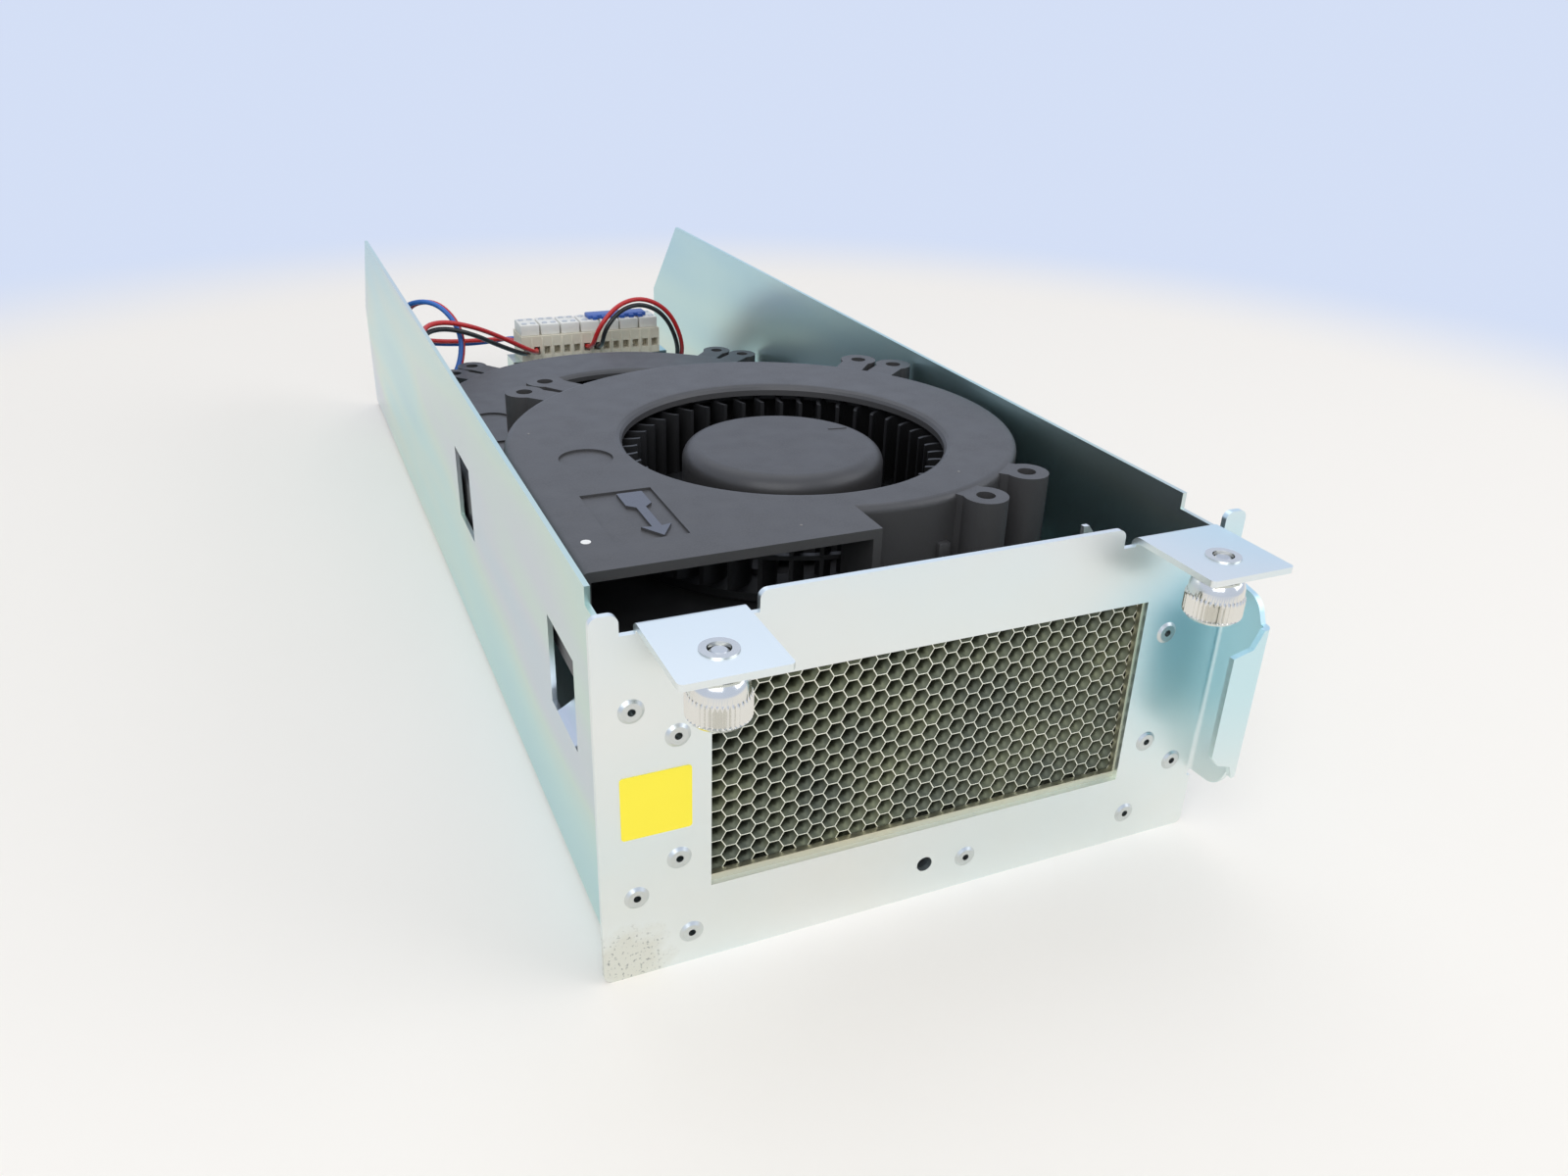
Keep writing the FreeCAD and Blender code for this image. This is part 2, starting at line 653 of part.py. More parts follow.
def make_panel_trim():
    """The blank label, the rivets and the clinch nut of the front panel."""
    left = S.label_inset - PANEL_HALF
    box("yellow_label", left, left + S.label_side, FACE - 0.15, FACE,
        S.label_low, S.label_low + S.label_side)
    sheet_t, back = S.panel_sheet, S.tray_sheet
    master = turned("rivet", [
        (S.rivet_mandrel, -sheet_t - 0.4), (S.rivet_head - 0.6, -sheet_t - 0.4),
        (S.rivet_head, -sheet_t), (S.rivet_shank, -sheet_t), (S.rivet_shank, back),
        (S.rivet_tail, back), (S.rivet_tail, back + 1.5), (S.rivet_mandrel, back + 1.5)],
        axis="Y")
    copies("panel_rivets", master, [
        (x, FRONT, z) for x, z in rivet_points() + vent_rivet_points()])
    spigot = S.fixing_radius + 0.8 - S.seat_fit
    turned("clinch_nut", [
        (S.fixing_radius, 0.0), (spigot, 0.0), (spigot, back), (spigot + 0.9, back),
        (spigot + 0.9, back + 2.2), (S.fixing_radius, back + 2.2)],
        0.0, FRONT, S.fixing_height, axis="Y")


# ---------------------------------------------------------------- honeycomb vent

def make_vent():
    outer_x = S.window_half + S.vent_border
    low, high = S.window_low - S.vent_border, S.window_high + S.vent_border
    frame = new_body("vent_frame", 0.0, FRONT, 0.0)
    border = new_sketch(frame, "XZ")
    draw_rectangle(border, -outer_x, outer_x, low, high)
    pad(frame, border, S.vent_depth, back=True)
    lugs = new_sketch(frame, "XZ")
    for sign in MIRROR:
        tip = sign * (S.window_half + S.vent_rivet_inset + S.rivet_head + 0.5)
        root = sign * (outer_x - 1.0)
        for z in (S.vent_rivet_low, S.vent_rivet_high):
            draw_rectangle(lugs, min(root, tip, key=float), max(root, tip, key=float),
                           z - 4.5, z + 4.5)
    pad(frame, lugs, S.tray_sheet, back=True)
    opening = new_sketch(frame, "XZ")
    draw_rectangle(opening, S.vent_lip - S.window_half, S.window_half - S.vent_lip,
                   S.window_low + S.vent_sill, S.window_high - S.vent_lip)
    for x, z in vent_rivet_points():
        draw_circle(opening, x, z, S.rivet_shank + 0.05)
    pocket(frame, opening, S.vent_depth)
    groove = new_sketch(frame, "XZ", -S.panel_sheet)
    rim = S.vent_wall
    draw_rectangle(groove, rim - outer_x, outer_x - rim, low + rim, high - rim)
    pocket(frame, groove, S.vent_depth - S.panel_sheet * 2)
    make_core(outer_x - rim - 0.15, low + rim + 0.15, high - rim - 0.15)


def make_core(half, low, high):
    """The honeycomb: hexagonal cells with level flats, whole cells only, inside the frame."""
    depth = float(S.vent_depth - S.panel_sheet * 2) - 0.2
    slab = Part.makeBox(float(half) * 2, depth, float(high - low),
                        FreeCAD.Vector(-float(half), 0, float(low)))
    cell, wall = float(S.core_cell), float(S.core_wall)
    corner = (cell - wall) / math.sqrt(3)
    column_step = cell * math.sqrt(3) / 2
    rows = int((float(high - low) - 2 * wall) / cell)
    columns = int(float(half) / column_step)
    middle = float(low + high) / 2
    hexes = []
    for column in range(-columns, columns + 1):
        shift = 0.5 * (column % 2)
        for row in range(rows + 1):
            z = middle + (row - rows / 2 + shift) * cell
            x = column * column_step
            if abs(x) + corner > float(half) - wall or abs(z - middle) + cell / 2 > (
                    float(high - low) / 2 - wall):
                continue
            ring = [FreeCAD.Vector(x + corner * math.cos(math.radians(60 * k)), 0,
                                   z + corner * math.sin(math.radians(60 * k)))
                    for k in range(7)]
            hexes.append(Part.Face(Part.makePolygon(ring)).extrude(FreeCAD.Vector(0, depth, 0)))
    core = slab.cut(Part.makeCompound(hexes))
    feature("honeycomb_core", core, 0.0, FRONT + S.panel_sheet + 0.1, 0.0)


# ---------------------------------------------------------------- captive thumbscrews

def make_thumbscrew(side, sign):
    """One captive screw under a tab. Heights are measured from the tab's underside."""
    x = sign * TAB_OFFSET
    y = FACE - S.screw_reach
    z = S.tab_top - S.panel_sheet
    lip = S.ferrule_lip
    bottom = -S.ferrule_length
    crown = S.panel_sheet + 0.25
    turned(side + "_ferrule", [
        (S.screw_radius + 0.2, crown), (S.spigot_radius, crown), (S.spigot_radius, 0.0),
        (S.ferrule_radius, 0.0), (S.ferrule_radius, bottom),
        (S.neck_radius + 0.06, bottom), (S.neck_radius + 0.06, bottom + lip),
        (S.ferrule_bore, bottom + lip), (S.ferrule_bore, -lip),
        (S.screw_radius + 0.2, -lip)], x, y, z)
    flange_low = bottom + lip + 0.05
    flange_top = flange_low + 0.8
    seat_top = flange_top + 0.5
    turned(side + "_spring_seat", [
        (S.screw_radius + 0.05, flange_top), (S.ferrule_bore - 0.1, flange_top),
        (S.ferrule_bore - 0.1, seat_top), (S.screw_radius + 0.05, seat_top)], x, y, z)
    knob_low = -S.knob_top - S.knob_height
    turned(side + "_screw", [
        (0.0, knob_low + 0.6), (S.neck_radius, knob_low + 0.6), (S.neck_radius, flange_low),
        (S.ferrule_bore - 0.3, flange_low), (S.ferrule_bore - 0.3, flange_top),
        (S.screw_radius, flange_top), (S.screw_radius, S.panel_sheet - 0.6),
        (S.screw_radius - 0.5, S.panel_sheet - 0.1), (0.0, S.panel_sheet - 0.1)], x, y, z)
    make_spring(side + "_spring", float(seat_top) + 0.02, -float(lip) - 0.02, x, y, z)
    make_knob(side + "_knob", x, y, z)


def make_spring(label, low, high, x, y, z):
    """A coil spring between its seat and the upper lip of the ferrule, of flat-sided wire."""
    wire = 0.25
    radius = float(S.ferrule_bore) - 0.35 - wire
    turns = 3
    helix = Part.makeHelix((high - low - 2 * wire) / turns, high - low - 2 * wire, radius)
    ring = [FreeCAD.Vector(radius + x * wire, 0, z * wire)
            for x, z in ((-1, -1), (1, -1), (1, 1), (-1, 1), (-1, -1))]
    coil = Part.Wire(helix.Edges).makePipeShell([Part.makePolygon(ring)], True, True)
    feature(label, coil, x, y, z + (low + wire))


def make_knob(label, x, y, z):
    """A knurled cup with a domed shoulder that slides over the ferrule."""
    top = -S.knob_top
    low = top - S.knob_height
    radius = S.knob_radius
    knob = new_body(label, x, y, z)
    profile = new_sketch(knob, "XZ")
    smooth = radius - S.knurl_depth
    draw_outline(profile, [
        (0.0, low + 0.4), (smooth - 0.5, low), (smooth, low + 0.5), (smooth, top - 2.4),
        (smooth - 0.15, top - 1.3), (smooth - 0.4, top - 0.5), (smooth - 0.75, top), (0.0, top)])
    spin = knob.newObject("PartDesign::Revolution", label + "Turn")
    spin.Profile = profile
    spin.ReferenceAxis = (profile, ["V_Axis"])
    spin.Angle = 360
    flutes = 30
    knurl = new_sketch(knob, "XY", low + 0.6)
    ring = []
    for step in range(flutes * 2):
        reach = float(radius) if step % 2 else float(smooth) - 0.05
        angle = math.pi * step / flutes
        ring.append(FreeCAD.Vector(reach * math.cos(angle), reach * math.sin(angle), 0))
    draw_wire(knurl, Part.makePolygon(ring + ring[:1]))
    pad(knob, knurl, S.knurl_height)
    bore = new_sketch(knob, "XY", top)
    draw_circle(bore, 0.0, 0.0, S.ferrule_radius + 0.3)
    pocket(knob, bore, S.knob_height - S.knob_base)
    stem = new_sketch(knob, "XY", top)
    draw_circle(stem, 0.0, 0.0, S.neck_radius + 0.01)
    pocket(knob, stem, S.knob_height - 0.6)
    return knob


# ---------------------------------------------------------------- blowers

BLOWER_X = S.blower_gap + S.tray_sheet - S.tray_width / 2 + S.blower_size / 2
HUB = FreeCAD.Vector(float(S.hub_x), float(S.hub_y), 0)
SPLIT = float(S.blower_height) / 2
FREE_EARS = [(24.2, -48.0), (45.3, 51.5), (-41.5, 57.3)]
MOUNTED_EARS = [(40.1, -39.1), (52.4, 44.3), (-48.4, 50.1)]
EARS = FREE_EARS + MOUNTED_EARS


def scroll_point(degrees, inset):
    """A point of the volute: it opens from the cut-off round to the outlet duct."""
    widest = float(S.hub_x) + float(S.blower_size) / 2
    narrowest = float(S.hub_y) - float(S.cutoff_set_back)
    share = (180 - degrees) / 270
    reach = widest - (widest - narrowest) * share * share - inset
    angle = math.radians(degrees)
    return HUB + FreeCAD.Vector(reach * math.cos(angle), reach * math.sin(angle), 0)


def housing_face(inset, mouth):
    """The housing seen from above. The inner face opens through the outlet at mouth."""
    left = -float(S.blower_size) / 2 + inset
    right = -float(S.blower_size) / 2 + float(S.outlet_width) - inset
    start = -90.0
    for _ in range(12):
        throat = scroll_point(start, inset)
        start -= math.degrees((throat.x - right) / (throat - HUB).Length)
    throat = scroll_point(start, inset)
    spiral = Part.BSplineCurve()
    spiral.interpolate([scroll_point(start + (180 - start) * step / 18, inset)
                        for step in range(19)])
    corner = FreeCAD.Vector(right, mouth, 0)
    edges = [
        Part.LineSegment(FreeCAD.Vector(left, mouth, 0), corner),
        Part.LineSegment(corner, throat), spiral,
        Part.LineSegment(scroll_point(180, inset), FreeCAD.Vector(left, mouth, 0))]
    return face_of([edge.toShape() for edge in edges])


def ear_solids(z0, z1):
    """The mounting ears: round posts with a neck into the housing."""
    radius = float(S.ear_radius)
    posts = []
    for ear_x, ear_y in EARS:
        centre = HUB + FreeCAD.Vector(ear_x, ear_y, 0)
        posts.append(Part.makeCylinder(radius, z1 - z0, centre + FreeCAD.Vector(0, 0, z0)))
        reach = math.hypot(ear_x, ear_y)
        neck = Part.makeBox(14.0, radius * 1.5, z1 - z0,
                            FreeCAD.Vector(reach - 14.0, -radius * 0.75, z0))
        neck.rotate(FreeCAD.Vector(0, 0, 0), FreeCAD.Vector(0, 0, 1),
                    math.degrees(math.atan2(ear_y, ear_x)))
        posts.append(neck.translated(HUB))
    return posts


def ear_holes():
    return [Part.makeCylinder(float(S.ear_bore), float(S.blower_height) + 2,
                              HUB + FreeCAD.Vector(x, y, -1)) for x, y in EARS]


def blower_base():
    """Lower shell: floor, half of the walls and ears, the bearing tube and the lead outlet."""
    roof = SPLIT
    floor = float(S.shell_floor)
    body = prism(housing_face(0.0, 0.0), 0.0, roof).multiFuse(ear_solids(0.0, roof))
    body = body.cut(prism(housing_face(float(S.shell_wall), -1.0), floor, roof + 1))
    body = body.cut(Part.makeCompound(ear_holes()))
    post = float(S.bearing_radius) + 1.5
    stem = tube(post, float(S.bearing_radius) + float(S.seat_fit), floor, 17.4)
    body = body.fuse(stem.translated(HUB))
    return body.fuse(lead_outlet()).removeSplitter()


def lead_outlet():
    """The flat-faced boss at the back left where the motor leads come out."""
    boss = Part.makeBox(5.0, 7.0, 8.0, FreeCAD.Vector(0, -3.5, 3.0))
    boss.rotate(FreeCAD.Vector(0, 0, 0), FreeCAD.Vector(0, 0, 1), 135)
    return boss.translated(scroll_point(150, 3.6))


def blower_cover():
    """Upper shell: roof with the bell-mouth inlet, the other half of the walls and ears."""
    height = float(S.blower_height)
    under = height - float(S.shell_floor)
    body = prism(housing_face(0.0, 0.0), SPLIT, height)
    rim = [edge for edge in body.Edges
           if abs(edge.BoundBox.ZMin - height) < 1e-4 and edge.BoundBox.YMax > 12.0]
    body = body.makeFillet(1.6, rim).multiFuse(ear_solids(SPLIT, height - 0.4))
    body = body.cut(prism(housing_face(float(S.shell_wall), -1.0), SPLIT - 1, under))
    body = body.cut(Part.makeCompound(ear_holes()))
    throat = float(S.inlet_radius)
    hole = Part.makeCylinder(throat + 1.8, height, HUB)
    lip = revolved([
        (throat, height - 2.6), (throat + 1.9, height - 2.6), (throat + 1.9, height),
        (throat + 1.3, height - 0.05), (throat + 0.5, height - 0.5), (throat, height - 1.2)])
    body = body.cut(hole).fuse(lip.translated(HUB))
    left, floor = -float(S.blower_size) / 2, height - float(S.recess_depth)
    dial = Part.makeCylinder(float(S.dial_radius), 1.0, FreeCAD.Vector(
        left + float(S.dial_inset), float(S.dial_front), floor))
    corner = FreeCAD.Vector(left + float(S.arrow_inset), float(S.arrow_front), floor)
    field = Part.makeBox(float(S.arrow_field), float(S.arrow_length), 1.0, corner)
    arrow = flow_arrow(corner.x + float(S.arrow_field) * 0.67, corner.y + 0.7, floor)
    return body.cut(dial).cut(field.cut(arrow)).removeSplitter()


def flow_arrow(middle, tip, floor):
    """A raised arrow in the cover's recess: barbed head towards the outlet, stem and tail."""
    end = tip + float(S.arrow_length) - 2.1
    half = [(0.0, tip), (3.0, tip + 4.9), (0.95, tip + 4.4), (0.95, end - 8.0),
            (2.6, end - 6.4), (2.6, end)]
    ring = [(middle + x, y) for x, y in half]
    ring += [(middle - x, y) for x, y in reversed(half)]
    edge = [FreeCAD.Vector(x, y, floor) for x, y in ring]
    return Part.Face(Part.makePolygon(edge)).extrude(FreeCAD.Vector(0, 0, 1.0))


BLADES = 43


def blade(z0, z1):
    """One forward-curved blade between the inside and the outside of the wheel."""
    inner, outer = float(S.blade_inner) + 0.4, float(S.fan_radius)
    half = float(S.blade_thickness) / 2
    middle = (inner + outer) / 2
    bow = 1.1
    outline = [
        Part.Arc(FreeCAD.Vector(inner, -half, 0), FreeCAD.Vector(middle, bow - half, 0),
                 FreeCAD.Vector(outer - 0.2, -1.6 - half, 0)),
        Part.LineSegment(FreeCAD.Vector(outer - 0.2, -1.6 - half, 0),
                         FreeCAD.Vector(outer - 0.2, -1.6 + half, 0)),
        Part.Arc(FreeCAD.Vector(outer - 0.2, -1.6 + half, 0),
                 FreeCAD.Vector(middle, bow + half, 0), FreeCAD.Vector(inner, half, 0)),
        Part.LineSegment(FreeCAD.Vector(inner, half, 0), FreeCAD.Vector(inner, -half, 0))]
    return prism(face_of([edge.toShape() for edge in outline]), z0, z1)


def impeller():
    """The wheel: hub cap, arms, two rings and the blades between them, turned about Z."""
    height = float(S.blower_height)
    top = height - float(S.cap_drop)
    inner, outer = float(S.blade_inner), float(S.fan_radius)
    cap, wall = float(S.cap_radius), float(S.cap_wall)
    hub = revolved([
        (float(S.shaft_radius) + 0.005, top - wall), (float(S.shaft_radius) + 0.005, top - 4.6),
        (3.4, top - 4.6), (3.4, top - wall), (cap - wall, top - wall), (cap - wall, 4.4),
        (cap, 4.4), (cap, top), (0.0, top), (0.0, top - wall)])
    crown = [edge for edge in hub.Edges
             if edge.BoundBox.ZMin > top - 1e-4 and edge.BoundBox.XMax > cap - 0.01]
    hub = hub.makeFillet(float(S.cap_round), crown)
    low_ring = tube(outer, inner, 3.6, 5.4)
    top_ring = tube(outer, outer - 2.6, height - 4.6, height - 3.1)
    parts = [low_ring, top_ring]
    arm = Part.makeBox(inner + 2 - cap, 5.0, 2.2, FreeCAD.Vector(cap - 0.6, -2.5, 4.6))
    for turn in range(6):
        spoke = arm.copy()
        spoke.rotate(FreeCAD.Vector(0, 0, 0), FreeCAD.Vector(0, 0, 1), 60 * turn)
        parts.append(spoke)
    vane = blade(4.0, height - 3.4)
    for number in range(BLADES):
        copy = vane.copy()
        copy.rotate(FreeCAD.Vector(0, 0, 0), FreeCAD.Vector(0, 0, 1), 360.0 / BLADES * number)
        parts.append(copy)
    return hub.multiFuse(parts).removeSplitter()


def motor_shapes():
    """The parts under the hub cap, turned about Z, by the name each takes in a blower."""
    top = float(S.blower_height - S.cap_drop)
    post = float(S.bearing_radius) + 1.5 + float(S.seat_fit)
    yoke_r = float(S.cap_radius - S.cap_wall) - 0.01
    floor = float(S.shell_floor)
    bore = float(S.shaft_radius + S.running_fit)
    width = float(S.bearing_width)
    ring = float(S.bearing_radius)
    core = tube(9.0, post, 6.6, 12.6)
    for turn in range(4):
        tooth = Part.makeBox(8.0, 3.4, 6.0, FreeCAD.Vector(8.0, -1.7, 6.6))
        shoe = tube(17.2, 15.2, 6.6, 12.6).common(
            Part.makeBox(18.0, 18.0, 6.0, FreeCAD.Vector(11.0, -9.0, 6.6)))
        limb = tooth.fuse(shoe)
        limb.rotate(FreeCAD.Vector(0, 0, 0), FreeCAD.Vector(0, 0, 1), 90 * turn)
        core = core.fuse(limb)
    coils = []
    for turn in range(4):
        coil = Part.makeBox(5.0, 6.6, 7.6, FreeCAD.Vector(9.6, -3.3, 5.8)).cut(
            Part.makeBox(5.0, 3.5, 6.1, FreeCAD.Vector(9.6, -1.75, 6.55)))
        coil.rotate(FreeCAD.Vector(0, 0, 0), FreeCAD.Vector(0, 0, 1), 90 * turn)
        coils.append(coil)
    yoke_top = top - float(S.cap_wall)
    yoke = revolved([(yoke_r, 5.2), (yoke_r, yoke_top), (3.45, yoke_top), (3.45, yoke_top - 1.2),
                     (yoke_r - 1.4, yoke_top - 1.2), (yoke_r - 1.4, 5.2)])
    magnet = tube(yoke_r - 1.42, 17.8, 5.4, 14.6)
    bearings = [tube(ring, bore, z, z + width) for z in (floor + 1.0, 17.4 - width)]
    return {
        "circuit_board": tube(19.0, post, floor, floor + 1.4),
        "stator_core": core.removeSplitter(),
        "stator_coils": Part.makeCompound(coils),
        "bearings": Part.makeCompound(bearings),
        "rotor_yoke": yoke,
        "rotor_magnet": magnet,
        "shaft": Part.makeCylinder(float(S.shaft_radius), top - 4.3 - floor,
                                   FreeCAD.Vector(0, 0, floor + 0.6)).fuse(
            Part.makeCylinder(float(S.shaft_radius), 2.6, FreeCAD.Vector(0, 0, top - 4.4))),
    }


def make_blowers():
    """Both blowers from the same shells, wheel and motor."""
    base, cover, wheel, motor = blower_base(), blower_cover(), impeller(), motor_shapes()
    for level, y, z in (("upper", FRONT + S.blower_front, S.upper_level),
                        ("lower", FRONT + S.blower_front + S.blower_pitch, S.lower_level)):
        hub_x, hub_y = BLOWER_X + S.hub_x, y + S.hub_y
        feature(level + "_blower_base", base, BLOWER_X, y, z)
        feature(level + "_blower_cover", cover, BLOWER_X, y, z)
        feature(level + "_impeller", wheel, hub_x, hub_y, z)
        for name, shape in motor.items():
            feature(level + "_" + name, shape, hub_x, hub_y, z)


def stud_points(y):
    """Where one blower's ears take a standoff, as (x, y)."""
    return [(BLOWER_X + S.hub_x + ear_x, y + S.hub_y + ear_y) for ear_x, ear_y in MOUNTED_EARS]


def make_standoffs():
    """Hexagonal standoffs between the floor and the blowers' ears, and their floor screws."""
    screws = []
    for level, y, top in (("upper", FRONT + S.blower_front, S.upper_level),
                          ("lower", FRONT + S.blower_front + S.blower_pitch, S.lower_level)):
        posts = []
        for x, spot_y in stud_points(y):
            post = hexagon("post", S.standoff_corner, top - S.tray_sheet, x, spot_y, S.tray_sheet)
            stud = rod("stud", S.stud_radius, S.stud_length, x, spot_y, top)
            bore = rod("bore", S.floor_screw_radius + S.seat_fit, 8.0, x, spot_y, S.tray_sheet)
            posts.append(cut("standoff", fused("standoff_blank", [post, stud]), [bore]))
            screws.append(turned("floor_screw", [
                (0.0, 0.05), (S.floor_screw_head, 0.05), (S.floor_screw_radius, S.tray_sheet),
                (S.floor_screw_radius, 7.0), (0.0, 7.0)], x, spot_y, 0.0))
        group(level + "_standoffs", posts)
    group("floor_screws", screws)


# ---------------------------------------------------------------- terminal block

def make_terminal_block():
    left, right = S.block_left, S.block_left + S.block_width
    y0 = FRONT + S.block_front
    y1 = y0 + S.block_depth
    low = S.block_low
    high = low + S.block_height
    poles = 14
    pitch = S.block_width / poles
    moulding = box("moulding", left, right, y0, y1, low, high)
    cavities = []
    for pole in range(poles):
        x = left + pitch * (pole + 0.5)
        for face in (y0, y1 - 4.0):
            cavities.append(box("cavity", x - 1.15, x + 1.15, face, face + 4.0,
                                low + 2.6, low + 5.6))
    cut("terminal_block", moulding, cavities)
    covers = []
    for number in range(poles // 2):
        start = left + pitch * 2 * number
        covers.append(box("cover", start + 0.3, start + pitch * 2 - 0.3, y0 + 1.5, y1 - 1.5,
                          high, high + S.cap_row_height))
    group("terminal_clamps", covers)
    comb_low = high + S.cap_row_height
    bar = box("bar", right - S.block_width * 0.5, right - 4.0, y0 + 4.0, y0 + 10.0,
              comb_low, comb_low + 1.6)
    teeth = [box("tooth", right - S.block_width * 0.5 + 1.5 + step * 3.6,
                 right - S.block_width * 0.5 + 3.3 + step * 3.6, y0 + 2.5, y0 + 4.0,
                 comb_low, comb_low + 1.6) for step in range(6)]
    fused("terminal_jumper", [bar] + teeth)
    t = S.bracket_sheet
    bracket = new_body("terminal_bracket", 0.0, y0 + 1.0, 0.0)
    section = new_sketch(bracket, "XZ")
    leg_l, leg_r = left - 2.0, right + 2.0
    floor = S.tray_sheet
    draw_outline(section, [
        (leg_l - S.bracket_foot, floor), (leg_l, floor), (leg_l, low - t), (leg_r, low - t),
        (leg_r, floor), (leg_r + S.bracket_foot, floor), (leg_r + S.bracket_foot, floor + t),
        (leg_r + t, floor + t), (leg_r + t, low), (leg_l - t, low), (leg_l - t, floor + t),
        (leg_l - S.bracket_foot, floor + t)])
    pad(bracket, section, S.block_depth - 2.0, back=True)
    head = turned("bracket_rivet", [
        (0.0, floor + t), (2.0, floor + t), (2.0, floor + t + 0.5), (1.2, floor + t + 1.1),
        (0.0, floor + t + 1.1)])
    middle = y0 + S.block_depth / 2
    copies("bracket_rivets", head, [
        (x, middle, 0.0) for x in (leg_l - S.bracket_foot / 2 - 0.4,
                                   leg_r + S.bracket_foot / 2 + 0.4)])


# ---------------------------------------------------------------- wiring

def route(points):
    """A lead along straight runs joined by tangent arcs, each as large as its runs allow."""
    spots = [FreeCAD.Vector(*point) for point in points]
    edges, here, radii = [], spots[0], []
    for before, corner, after in zip(spots, spots[1:], spots[2:]):
        inward, outward = (before - corner), (after - corner)
        short = min(inward.Length, outward.Length)
        inward.normalize()
        outward.normalize()
        half_turn = (math.pi - inward.getAngle(outward)) / 2
        step = 0.45 * short
        radius = step / math.tan(half_turn)
        radii.append(radius)
        start, end = corner + inward * step, corner + outward * step
        bisector = (inward + outward).normalize()
        middle = corner + bisector * (radius / math.cos(half_turn) - radius)
        edges.append(Part.LineSegment(here, start).toShape())
        edges.append(Part.Arc(start, middle, end).toShape())
        here = end
    edges.append(Part.LineSegment(here, spots[-1]).toShape())
    path = Part.Wire(edges)
    heading = (spots[1] - spots[0]).normalize()
    section = Part.Wire(Part.makeCircle(float(S.wire_radius), spots[0], heading))
    solid = path.makePipeShell([section], True, False)
    return solid, path.Length, radii


def make_lead(label, points):
    """One insulated lead. Points are (x, distance behind the tray's front, z)."""
    solid, length, radii = route([(x, float(FRONT) + y, z) for x, y, z in points])
    section = math.pi * float(S.wire_radius) ** 2
    print("%s length %.0f mm, radii %s, volume ratio %.3f" % (
        label, length, " ".join("%.1f" % radius for radius in radii),
        solid.Volume / (section * length)))
    feature(label, solid)


def make_wiring():
    for label, points in LEADS.items():
        make_lead(label, points)


LEADS = {
    "upper_lead_red": [
        (-51.9, 112.1, 53), (-57.3, 117.5, 52.7), (-58.5, 131.1, 50.7), (-57.9, 157.1, 48.4),
        (-58.5, 199.9, 48.2), (-57.5, 229.8, 51.6), (-54.5, 247.8, 57.6), (-46.5, 256, 57.6),
        (-35.5, 259.5, 54.2), (-24, 268.5, 47.2), (-8.21, 276, 37.1), (-8.21, 287.8, 37.1)],
    "upper_lead_black": [
        (-51.9, 112.1, 50.8), (-57.1, 117.3, 50.5), (-58.3, 130.9, 48.5), (-57.7, 156.9, 46.2),
        (-58.3, 200.1, 46), (-57.3, 230.2, 49.4), (-54.5, 248.2, 55.4), (-46.5, 256, 55.4),
        (-36.2, 258.6, 52), (-25, 267.2, 44.4), (-12.07, 276.2, 37.1), (-12.07, 287.8, 37.1)],
    "lower_lead_blue": [
        (-51.9, 223.1, 26.9), (-56.6, 227.7, 27), (-56.2, 239.7, 28.6), (-49.1, 251.5, 33),
        (-40.9, 258.6, 41.1), (-39, 262, 52.3), (-45.6, 267.1, 61.8), (-55, 275.5, 60.2),
        (-57.6, 287, 50.4), (-53.4, 298.5, 40.5), (-40.6, 306.2, 36.4), (-25, 311, 34.2),
        (-8.21, 307.5, 37.1), (-8.21, 293.8, 37.1)],
    "lower_lead_red": [
        (-51.9, 223.1, 24.7), (-56.6, 227.9, 24.8), (-56.2, 240.3, 26.4), (-48.9, 252.5, 31),
        (-40.1, 260.4, 39.9), (-38, 264, 51.7), (-44.4, 268.9, 61.2), (-53, 276.5, 59.8),
        (-55.4, 287, 50.6), (-51.6, 297.5, 41.5), (-39.4, 304.8, 37.6), (-26, 308.4, 36.2),
        (-12.07, 304.6, 37.1), (-12.07, 293.8, 37.1)],
    "jumper_lead_red": [
        (11.07, 287.8, 37.1), (11.07, 277.8, 37.1), (12.9, 272.4, 47.6), (21.6, 274.9, 55.1),
        (32.2, 277.6, 56.1), (42.3, 278.1, 50.3), (48, 279.2, 38.4), (50, 286.2, 27.8),
        (48.5, 297.2, 25.3), (45.5, 308.5, 29.5), (34.21, 307.2, 37.1), (34.21, 293.8, 37.1)],
    "jumper_lead_black": [
        (14.93, 287.8, 37.1), (14.93, 277.8, 37.1), (15.1, 272.6, 46.4), (22.4, 275.1, 52.9),
        (31.8, 277.4, 53.9), (40.7, 277.9, 48.7), (46, 278.8, 37.6), (48, 285.8, 27.2),
        (46.5, 296.8, 24.7), (43.5, 306.5, 28.5), (38.07, 304, 37.1), (38.07, 293.8, 37.1)],
}


# ---------------------------------------------------------------- assembly

NODES = [
    "tray", "front_panel", "yellow_label", "panel_rivets", "clinch_nut", "vent_frame",
    "honeycomb_core", "upper_standoffs", "lower_standoffs", "floor_screws",
    "terminal_block", "terminal_clamps", "terminal_jumper", "terminal_bracket",
    "bracket_rivets"]
NODES += [side + "_" + name for side in ("left", "right")
          for name in ("ferrule", "spring_seat", "screw", "spring", "knob")]
NODES += [level + "_" + name for level in ("upper", "lower")
          for name in ("blower_base", "blower_cover", "impeller", "circuit_board",
                       "stator_core", "stator_coils", "bearings", "rotor_yoke",
                       "rotor_magnet", "shaft")]
NODES += list(LEADS)

